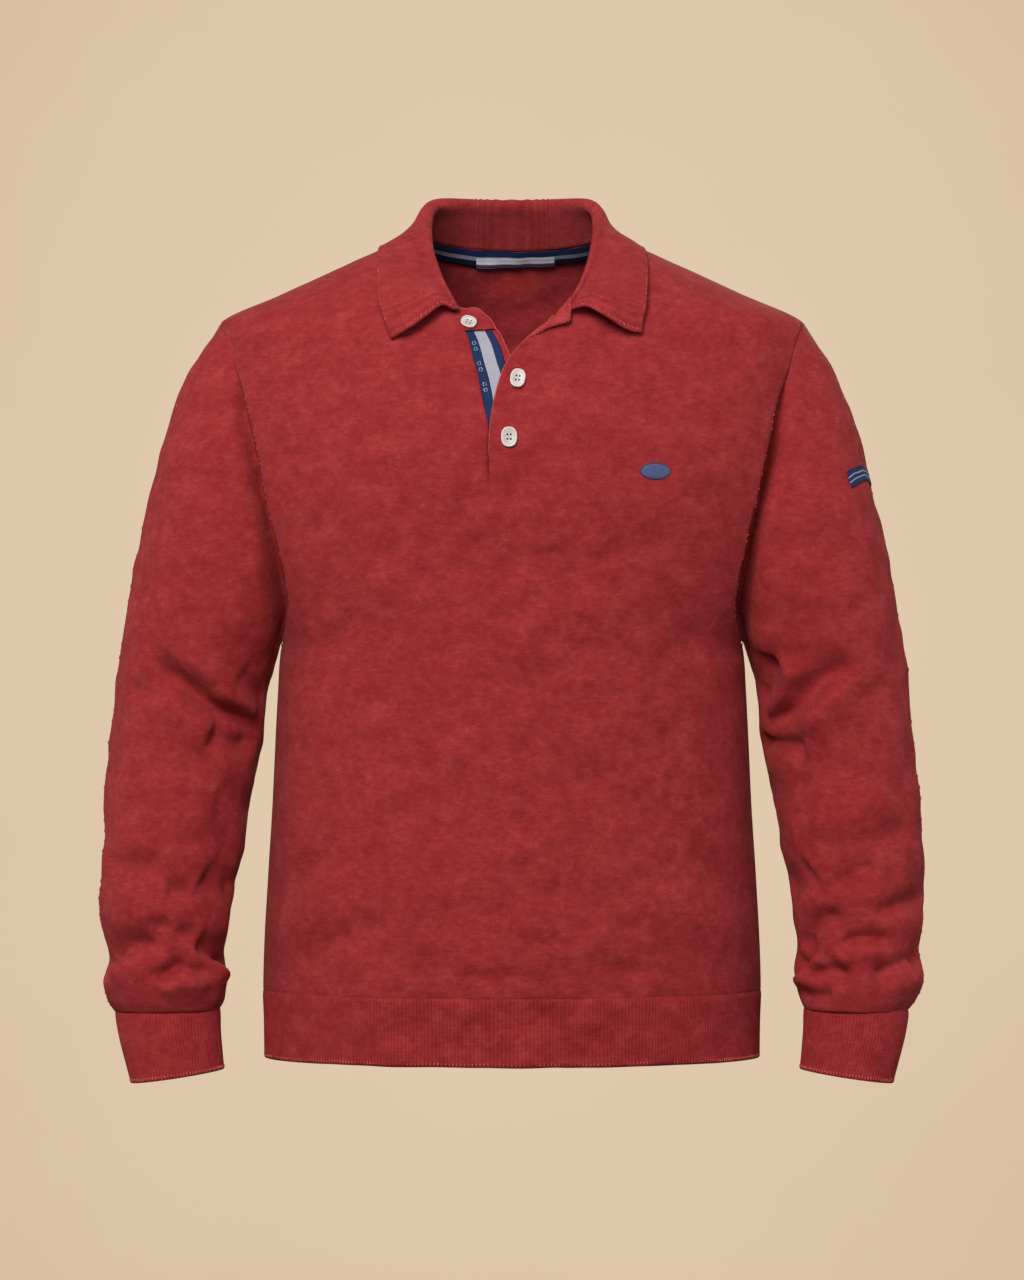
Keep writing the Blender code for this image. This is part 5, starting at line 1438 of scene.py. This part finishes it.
chance = np.random.default_rng(17)
places = []
outs = []
lows = []
for path, span, gap, aim in ((OVER_EDGE, (0.12, 0.62), 0.0052, (-0.75, -0.65)),
                             (ROLL_LOWER, (0.08, 0.86), 0.0022, (0.25, -0.95))):
    line = spread_along(path, np.linspace(*span, 400))
    length = np.linalg.norm(np.diff(line, axis=0), axis=1).sum()
    spot = 0.0
    while spot < length:
        x, z = line[min(int(spot / length * 400), 399)]
        extra = 0.0026 if path is OVER_EDGE else 0.0026 + 0.0048 * spot / length
        point = on_body(x + 0.0007, z, -1, extra)
        places.append(point)
        outs.append(point - on_body(x + 0.0007, z, -1, -0.01))
        lows.append((aim[0] * chance.uniform(0.6, 1.2), 0.0, aim[1]))
        spot += gap * chance.uniform(0.75, 1.4)
placket_stitches = stitch_row("front_edge_stitches", places, outs, lows, PLACKET_STITCH,
                              BINDING)

# A button loop of yarn at the top of the left front's edge.
loop_path = spread_along(((0.0314, -0.0704), (0.0310, -0.0680), (0.0328, -0.0656),
                          (0.0352, -0.0644), (0.0362, -0.0652)), np.linspace(0, 1, 22))
loop = cord("button_loop", on_body(loop_path[:, 0], loop_path[:, 1], -1, 0.0030), 0.00055,
            BINDING)


# ---- the placket's tape -------------------------------------------------------------------
# A woven tape sewn down the button stand from below the top button: navy, pale grey and navy
# bands, with small plain lozenges worked in white along the first.
TAPE_WALL = 0.0005
TAPE_LIFT = -0.0018          # its middle, from the front's
TAPE_RIGHT = (
    (0.0040, -0.1540),
    (0.0022, -0.1300),
    (-0.0022, -0.1130),
    (-0.0053, -0.1034),
    (-0.0081, -0.0942),
    (-0.0108, -0.0862),
    (-0.0166, -0.0755),
)
NAVY = (0.0105, 0.0290, 0.1120)
NAVY_DARK = (0.0040, 0.0090, 0.0370)
TAPE_GREY = (0.400, 0.412, 0.490)
WEFT_PITCH = 0.00055
LOZENGE_STITCH = (0.00055, 0.0025, 0.0004)


def woven_finish(name, bands):
    """Woven tape in bands, each an edge place across it in shares and a colour."""
    finish, tree, shader = new_finish(name)
    across, along = stitch_place(tree)
    colour = colour_ramp(tree, across, bands, "CONSTANT")
    threads = node(tree, "ShaderNodeTexNoise", None, {"Scale": 900.0, "Detail": 2.0})
    spot = node(tree, "ShaderNodeTexCoord")
    tree.links.new(spot.outputs["Object"], threads.inputs["Vector"])
    uneven = math_node(tree, "MULTIPLY_ADD", threads.outputs["Fac"], 0.70, 0.65)
    shade = node(tree, "ShaderNodeVectorMath", {"operation": "SCALE"},
                 {0: colour, "Scale": uneven})
    weft = math_node(tree, "SINE", math_node(tree, "MULTIPLY", along, math.tau / WEFT_PITCH))
    height = math_node(tree, "MULTIPLY_ADD", weft, 0.4, threads.outputs["Fac"])
    set_shader(tree, shader, shade.outputs["Vector"], height, (0.5, 0.00020),
               {"Roughness": 0.66, "Specular IOR Level": 0.16, "Sheen Weight": 0.02})
    return finish


PLACKET_TAPE = woven_finish("placket_tape", ((0.0, NAVY_DARK), (0.02, NAVY), (0.31, NAVY_DARK),
                                             (0.335, TAPE_GREY), (0.735, NAVY_DARK),
                                             (0.755, NAVY), (0.97, NAVY_DARK)))
heights = np.linspace(TAPE_END_HEIGHT - 0.003, FLAP_END_HEIGHT + 0.0012, 60)
left = np.stack((edge_at(UNDER_EDGE, heights) - 0.0008, heights), -1)
right = np.stack((np.maximum(edge_at(TAPE_RIGHT, heights), left[:, 0] + 0.002), heights), -1)
flat = strip_flat(left, right, 16)
share = np.linspace(0, 1, 17)[None, :]
spots = np.stack(np.broadcast_arrays(share, heights[:, None]), -1)
tape = cloth_piece("placket_tape_woven", [on_body(flat[..., 0], flat[..., 1], -1, TAPE_LIFT)],
                   [spots], TAPE_WALL, PLACKET_TAPE)
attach(tape, "root")
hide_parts("placket_tape")

WHITE_THREAD = woven_finish("white_thread", ((0.0, (0.62, 0.66, 0.74)), (0.5, (0.62, 0.66, 0.74))))
places = []
lows = []
for height in (-0.0855, -0.0905, -0.1030, -0.1080, -0.1205, -0.1255):
    middle = edge_at(UNDER_EDGE, height) + 0.0036
    for step_x, step_z, tilt in ((-0.0011, 0.0007, 1.0), (0.0009, 0.0009, -1.0),
                                 (-0.0009, -0.0011, -1.0), (0.0011, -0.0009, 1.0)):
        places.append(on_body(middle + step_x, height + step_z, -1, TAPE_LIFT + 0.00042))
        lows.append((0.75 * tilt, 0.0, 0.80))
outs = np.tile((0.0, -1.0, 0.0), (len(places), 1))
tape_marks = stitch_row("placket_tape_lozenges", places, outs, lows, LOZENGE_STITCH,
                        WHITE_THREAD)


# ---- the neck tape and label --------------------------------------------------------------
# A narrow woven tape that covers the collar's seam inside the back of the neck, navy with a
# pale stripe, and over its middle a bare woven label with a thin red and a blue line.
NECK_TAPE_REACH = 0.0745
NECK_TAPE_LIFT = -0.0033
NECK_TAPE_TOP = 0.0016       # above the back's neckline
NECK_TAPE_HEIGHT = 0.0128
LABEL_REACH = 0.0350
LABEL_ASIDE = 0.0030         # its middle lies a little to the wearer's left
LABEL_TOP = -0.0036
LABEL_HEIGHT = 0.0090
LABEL_LIFT = -0.0041


def neck_strip(name, middle, reach, top, height, lift, columns, material, cad_node):
    """A band along the inside of the back's neckline, with its shares down it as places."""
    across = np.linspace(middle - reach, middle + reach, columns + 1)
    rise = SHOULDER_POINT[1] - BACK_NECK_DIP * (1 - (across / SHOULDER_POINT[0]) ** 2) + top
    share = np.linspace(0, 1, 9)[:, None]
    flat = np.stack(np.broadcast_arrays(across[None, :], rise[None, :] - share * height), -1)
    spots = np.stack(np.broadcast_arrays(share, across[None, :]), -1)
    ripple = 0.00025 * np.sin(across * 310.0) * np.sin(across * 73.0 + 1.0)
    band = cloth_piece(name, [on_body(flat[..., 0], flat[..., 1], 1, lift - ripple[None, :])],
                       [spots], TAPE_WALL, material)
    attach(band, "root")
    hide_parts(cad_node)
    return band


# The pale stripe is a darker copy of the placket tape's grey, painted shade for the inside of the
# neck.
NECK_TAPE_SHADED = woven_finish("neck_tape", ((0.0, NAVY_DARK), (0.08, NAVY), (0.30, NAVY_DARK),
                                       (0.36, (0.25, 0.25, 0.31)), (0.60, NAVY_DARK),
                                       (0.70, NAVY_DARK),
                                       (0.95, (0.003, 0.006, 0.02))))
LABEL = woven_finish("neck_label", ((0.0, (0.30, 0.32, 0.42)), (0.06, (0.58, 0.61, 0.74)),
                                    (0.34, (0.72, 0.76, 0.90)), (0.56, (0.10, 0.10, 0.16)),
                                    (0.62, (0.23, 0.030, 0.045)), (0.74, NAVY_DARK),
                                    (0.80, (0.040, 0.085, 0.20)), (0.95, NAVY_DARK)))
neck_tape = neck_strip("neck_tape_woven", 0.0, NECK_TAPE_REACH, NECK_TAPE_TOP, NECK_TAPE_HEIGHT,
                       NECK_TAPE_LIFT, 110, NECK_TAPE_SHADED, "neck_tape")
neck_label = neck_strip("neck_label_woven", LABEL_ASIDE, LABEL_REACH, LABEL_TOP, LABEL_HEIGHT,
                        LABEL_LIFT, 60, LABEL, "neck_label")


# ---- the chest embroidery -----------------------------------------------------------------
# A plain oval worked in blue satin stitch on the wearer's left chest: slanting threads laid side
# by side, bound round with a darker one.
BADGE_PLACE = (0.1195, -0.1940)
BADGE_HALF = (0.0118, 0.0064)
BADGE_LIFT = 0.0013
THREAD_PITCH = 0.00062
BADGE_BLUE = (0.100, 0.140, 0.330)
BADGE_DARK = (0.020, 0.020, 0.060)


def thread_finish(name, colour, dark, pitch):
    """Shiny embroidery thread, with painted shade making it darker between the threads that lie
    across the piece.
    """
    finish, tree, shader = new_finish(name)
    wave = math_node(tree, "COSINE", math_node(tree, "MULTIPLY", stitch_place(tree)[0],
                                               math.tau / pitch))
    strands = noise_node(tree, 1400.0, 2.0)
    # Painted shade: the colour darkens with the wave between the threads, where the satin dips.
    light = math_node(tree, "MULTIPLY_ADD", wave, 0.22, strands)
    silk = colour_ramp(tree, light, ((0.22, dark), (0.62, colour)))
    set_shader(tree, shader, silk, light, (0.6, 0.00018),
               {"Roughness": 0.48, "Specular IOR Level": 0.40, "Sheen Weight": 0.10})
    return finish


SATIN = thread_finish("satin_blue", BADGE_BLUE, BADGE_DARK, THREAD_PITCH)
OUTLINE = thread_finish("satin_dark", (0.055, 0.050, 0.120), (0.012, 0.010, 0.025), 0.0009)
across = np.linspace(-0.992, 0.992, 97)
up = np.linspace(-1, 1, 17)[:, None]
tall = np.sqrt(1 - across ** 2)
flat = np.stack((BADGE_PLACE[0] + BADGE_HALF[0] * across + 0 * up,
                 BADGE_PLACE[1] + BADGE_HALF[1] * tall * up), -1)
lean = flat[..., 0] + flat[..., 1] * 0.35
dome = tall * np.sqrt(np.clip(1 - up ** 2, 0.0, 1.0))
lift = BADGE_LIFT + 0.00075 * dome + 0.00012 * np.cos(lean * math.tau / THREAD_PITCH)
badge = cloth_piece("chest_oval", [on_body(flat[..., 0], flat[..., 1], -1, lift)],
                    [np.stack((lean, flat[..., 1]), -1)], 0.0006, SATIN)
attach(badge, "root")
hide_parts("chest_badge")
turn = np.linspace(0, math.tau, 64)
cord("chest_oval_edge",
     on_body(BADGE_PLACE[0] + BADGE_HALF[0] * np.cos(turn) * 1.01,
             BADGE_PLACE[1] + BADGE_HALF[1] * np.sin(turn) * 1.02, -1, BADGE_LIFT + 0.0002),
     0.00050, OUTLINE)


# ---- the sleeve label ---------------------------------------------------------------------
# A small navy woven label folded round the outer side of the left sleeve, with two plain pale
# lines. Its corners are given as rows and columns of the sleeve's own points.
LABEL_CORNERS = ((0.2840, -0.1932), (0.2884, -0.2066))   # the near side, across and up
LABEL_FAR_HEIGHTS = (-0.1880, -0.2020)
LABEL_FAR_COLUMN = 2.6
SLEEVE_LABEL_WALL = 0.0006


def sleeve_rows(grid, row, column, lift=0.0):
    """Points on a sleeve between its own rows and columns, moved out by lift."""
    outward = tube_out(grid)
    raised = grid + outward * lift
    low_row = np.clip(np.floor(row).astype(int), 0, len(grid) - 2)
    low_column = np.floor(column).astype(int)
    part_row = (row - low_row)[..., None]
    part_column = (column - low_column)[..., None]
    near = low_column % SLEEVE_SIDES
    far = (low_column + 1) % SLEEVE_SIDES
    below = raised[low_row, near] * (1 - part_column) + raised[low_row, far] * part_column
    above = raised[low_row + 1, near] * (1 - part_column) + raised[low_row + 1, far] * part_column
    return below * (1 - part_row) + above * part_row


def find_on_sleeve(grid, across, up):
    """The row and column of a sleeve's front where it is seen at a place across and up."""
    front_half = grid[:, :SLEEVE_SIDES // 4]
    gap = np.hypot(front_half[..., 0] - across, front_half[..., 2] - up)
    row, column = np.unravel_index(np.argmin(gap), gap.shape)
    spot = np.array((row, column), float)
    for _ in range(12):
        here = sleeve_rows(grid, spot[:1], spot[1:])[0]
        row_step = sleeve_rows(grid, spot[:1] + 0.2, spot[1:])[0] - here
        column_step = sleeve_rows(grid, spot[:1], spot[1:] + 0.2)[0] - here
        slope = np.array(((row_step[0], column_step[0]), (row_step[2], column_step[2]))) / 0.2
        spot = spot + 0.7 * np.linalg.solve(slope, (across - here[0], up - here[2]))
    return spot


near_top, near_bottom = (find_on_sleeve(left_grid, *corner) for corner in LABEL_CORNERS)
outer_heights = left_grid[::-1, 0, 2]
far_top, far_bottom = (np.array((np.interp(height, outer_heights,
                                           np.arange(len(left_grid))[::-1]), LABEL_FAR_COLUMN))
                       for height in LABEL_FAR_HEIGHTS)
u = np.linspace(0, 1, 29)[None, :, None]
v = np.linspace(0, 1, 25)[:, None, None]
spots = ((near_top * (1 - u) + far_top * u) * (1 - v)
         + (near_bottom * (1 - u) + far_bottom * u) * v)
label_points = sleeve_rows(left_grid, spots[..., 0], spots[..., 1], 0.0017)
SLEEVE_LABEL = woven_finish("sleeve_label", ((0.0, NAVY_DARK), (0.06, NAVY),
                                             (0.30, (0.30, 0.33, 0.42)), (0.38, NAVY),
                                             (0.60, (0.30, 0.33, 0.42)), (0.68, NAVY),
                                             (0.94, NAVY_DARK)))
places = np.stack(np.broadcast_arrays(v[..., 0], u[..., 0] * 0.02), -1)
sleeve_label = cloth_piece("sleeve_label_woven", [label_points], [places], SLEEVE_LABEL_WALL,
                           SLEEVE_LABEL)
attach(sleeve_label, "root")
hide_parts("sleeve_label")


# ---- the buttons --------------------------------------------------------------------------
# Three ivory resin buttons, rounded oblongs with a raised rim, a ring inside it and four drilled
# holes. Each is sewn on flat through its holes with a dark thread.
# Each button's name, its place across and up, its tilt, how high its ground lies and its size.
BUTTONS = (
    ("button_1", -0.0361, -0.0695, 68.0, -0.0003, 0.80),
    ("button_2", 0.0048, -0.1172, -8.0, 0.0004, 0.97),
    ("button_3", -0.0024, -0.1664, 0.0, 0.0003, 1.02),
)
BUTTON_HALF = (0.0066, 0.0085)
BUTTON_THICKNESS = 0.0026
BUTTON_ROUNDNESS = 2.35
BUTTON_SIDES = 96
# From the middle of the face out over the rim and round to the middle of the back: the share of
# the outline and the height.
BUTTON_PROFILE = (
    (0.00, 0.00055), (0.20, 0.00055), (0.40, 0.00058), (0.58, 0.00066), (0.68, 0.00074),
    (0.735, 0.00070), (0.760, 0.00072), (0.785, 0.00098), (0.83, 0.00118), (0.88, 0.00129),
    (0.92, 0.00126), (0.96, 0.00108), (0.985, 0.00078), (1.00, 0.00030), (0.995, -0.00035),
    (0.970, -0.00090), (0.93, -0.00120), (0.86, -0.00130), (0.60, -0.00130), (0.30, -0.00130),
    (0.00, -0.00130),
)
HOLE_RADIUS = 0.00082
BUTTONHOLE_STITCH = (0.0008, 0.0022, 0.0006)
HOLE_PLACES = ((-0.0014, 0.0019), (0.0014, 0.0019), (-0.0014, -0.0019), (0.0014, -0.0019))
IVORY_RIM = (0.700, 0.660, 0.632)
IVORY_INNER = (0.455, 0.425, 0.405)


def resin_finish():
    """Ivory resin: paler on the rim, faintly clouded, polished."""
    finish, tree, shader = new_finish("button_resin")
    cloud = noise_node(tree, 320.0, 2.0)
    share = math_node(tree, "MULTIPLY_ADD", cloud, 0.06, stitch_place(tree)[0])
    colour = colour_ramp(tree, share, ((0.74, IVORY_INNER), (0.84, IVORY_RIM)))
    set_shader(tree, shader, colour, noise_node(tree, 2600.0, 1.0), (0.08, 0.00005),
               {"Roughness": 0.30, "Specular IOR Level": 0.45, "Coat Weight": 0.15,
                "Coat Roughness": 0.20})
    return finish


RESIN = resin_finish()
BUTTON_THREAD = thread_finish("button_thread", (0.085, 0.022, 0.018), (0.022, 0.006, 0.006), 0.0004)


def button(name, across, up, tilt, ground, size):
    """One button on the front, with its long side turned from upright by tilt degrees."""
    angle = np.arange(BUTTON_SIDES) * math.tau / BUTTON_SIDES
    power = 2 / BUTTON_ROUNDNESS
    outline = np.stack((BUTTON_HALF[0] * np.sign(np.cos(angle)) * np.abs(np.cos(angle)) ** power,
                        BUTTON_HALF[1] * np.sign(np.sin(angle)) * np.abs(np.sin(angle)) ** power),
                       -1)
    shape = bmesh.new()
    shares = shape.loops.layers.uv.new("stitches")
    rings = []
    for share, height in BUTTON_PROFILE:
        if share == 0.0:
            rings.append([shape.verts.new((0.0, 0.0, height))])
        else:
            rings.append([shape.verts.new((x * share, z * share, height)) for x, z in outline])
    for ring, following in zip(rings, rings[1:]):
        for index in range(BUTTON_SIDES):
            after = (index + 1) % BUTTON_SIDES
            corners = [ring[index % len(ring)], following[index % len(following)],
                       following[after % len(following)], ring[after % len(ring)]]
            shape.faces.new(list(dict.fromkeys(corners)))
    bmesh.ops.recalc_face_normals(shape, faces=shape.faces)
    for face in shape.faces:
        for loop in face.loops:
            x, z, height = loop.vert.co
            reach = (abs(x / BUTTON_HALF[0]) ** BUTTON_ROUNDNESS
                     + abs(z / BUTTON_HALF[1]) ** BUTTON_ROUNDNESS) ** (1 / BUTTON_ROUNDNESS)
            loop[shares].uv = (reach, 0.0)
    mesh = bpy.data.meshes.new(name)
    shape.to_mesh(mesh)
    shape.free()
    disc = bpy.data.objects.new(name + "_resin", mesh)
    bpy.context.scene.collection.objects.link(disc)
    drills = bmesh.new()
    for x, z in HOLE_PLACES:
        bmesh.ops.create_cone(drills, cap_ends=True, segments=20, radius1=HOLE_RADIUS,
                              radius2=HOLE_RADIUS, depth=0.008,
                              matrix=Matrix.Translation((x, z, 0.0)))
    drill_mesh = bpy.data.meshes.new("drills")
    drills.to_mesh(drill_mesh)
    drills.free()
    drill = bpy.data.objects.new("drills", drill_mesh)
    bpy.context.scene.collection.objects.link(drill)
    cut = disc.modifiers.new("holes", "BOOLEAN")
    cut.object = drill
    cut.solver = "EXACT"
    bpy.context.view_layer.update()
    drilled = disc.evaluated_get(bpy.context.evaluated_depsgraph_get())
    disc.data = bpy.data.meshes.new_from_object(drilled)
    disc.modifiers.clear()
    bpy.data.objects.remove(drill)
    bpy.data.meshes.remove(mesh)
    disc.data.materials.clear()
    disc.data.materials.append(RESIN)
    disc.data.shade_smooth()
    middle = on_body(across, up, -1, ground + CLOTH_WALL / 2 + 0.0003 + BUTTON_THICKNESS / 2)
    out = Vector(middle - on_body(across, up, -1, ground)).normalized()
    right = Vector((1.0, 0.0, 0.0))
    right = (right - out * right.dot(out)).normalized()
    upward = out.cross(right)
    frame_turn = Matrix((right, upward, out)).transposed().to_4x4()
    turn = (Matrix.Translation(Vector(middle)) @ frame_turn
            @ Matrix.Rotation(math.radians(tilt), 4, "Z") @ Matrix.Diagonal((size, size, 1, 1)))
    disc.data.transform(turn)
    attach(disc, "root")
    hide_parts(name)
    for index, (x, z) in enumerate(HOLE_PLACES):
        path = [turn @ Vector((x, z, height)) for height in (-0.0026, -0.0018, -0.0012, -0.0006)]
        cord(f"{name}_thread_{index}", path, HOLE_RADIUS * 0.92, BUTTON_THREAD, 10)


for settings in BUTTONS:
    button(*settings)

# The ends of the buttonholes, a few whipped stitches above and beside each button.
places = []
lows = []
for x, z, slope_x, slope_z in ((0.0030, -0.1060, 0.2, 1.0), (0.0044, -0.1056, -0.3, 1.0),
                               (0.0058, -0.1064, -0.5, 0.8), (-0.0040, -0.1555, 0.3, 1.0),
                               (-0.0026, -0.1550, 0.0, 1.0), (-0.0010, -0.1556, -0.4, 1.0),
                               (0.0064, -0.1640, 1.0, 0.2), (0.0066, -0.1672, 1.0, -0.2)):
    places.append(on_body(x, z, -1, CLOTH_WALL / 2 + 0.0005))
    lows.append((slope_x, 0.0, slope_z))
outs = np.tile((0.0, -1.0, 0.0), (len(places), 1))
stitch_row("buttonhole_stitches", places, outs, lows, BUTTONHOLE_STITCH, BINDING)
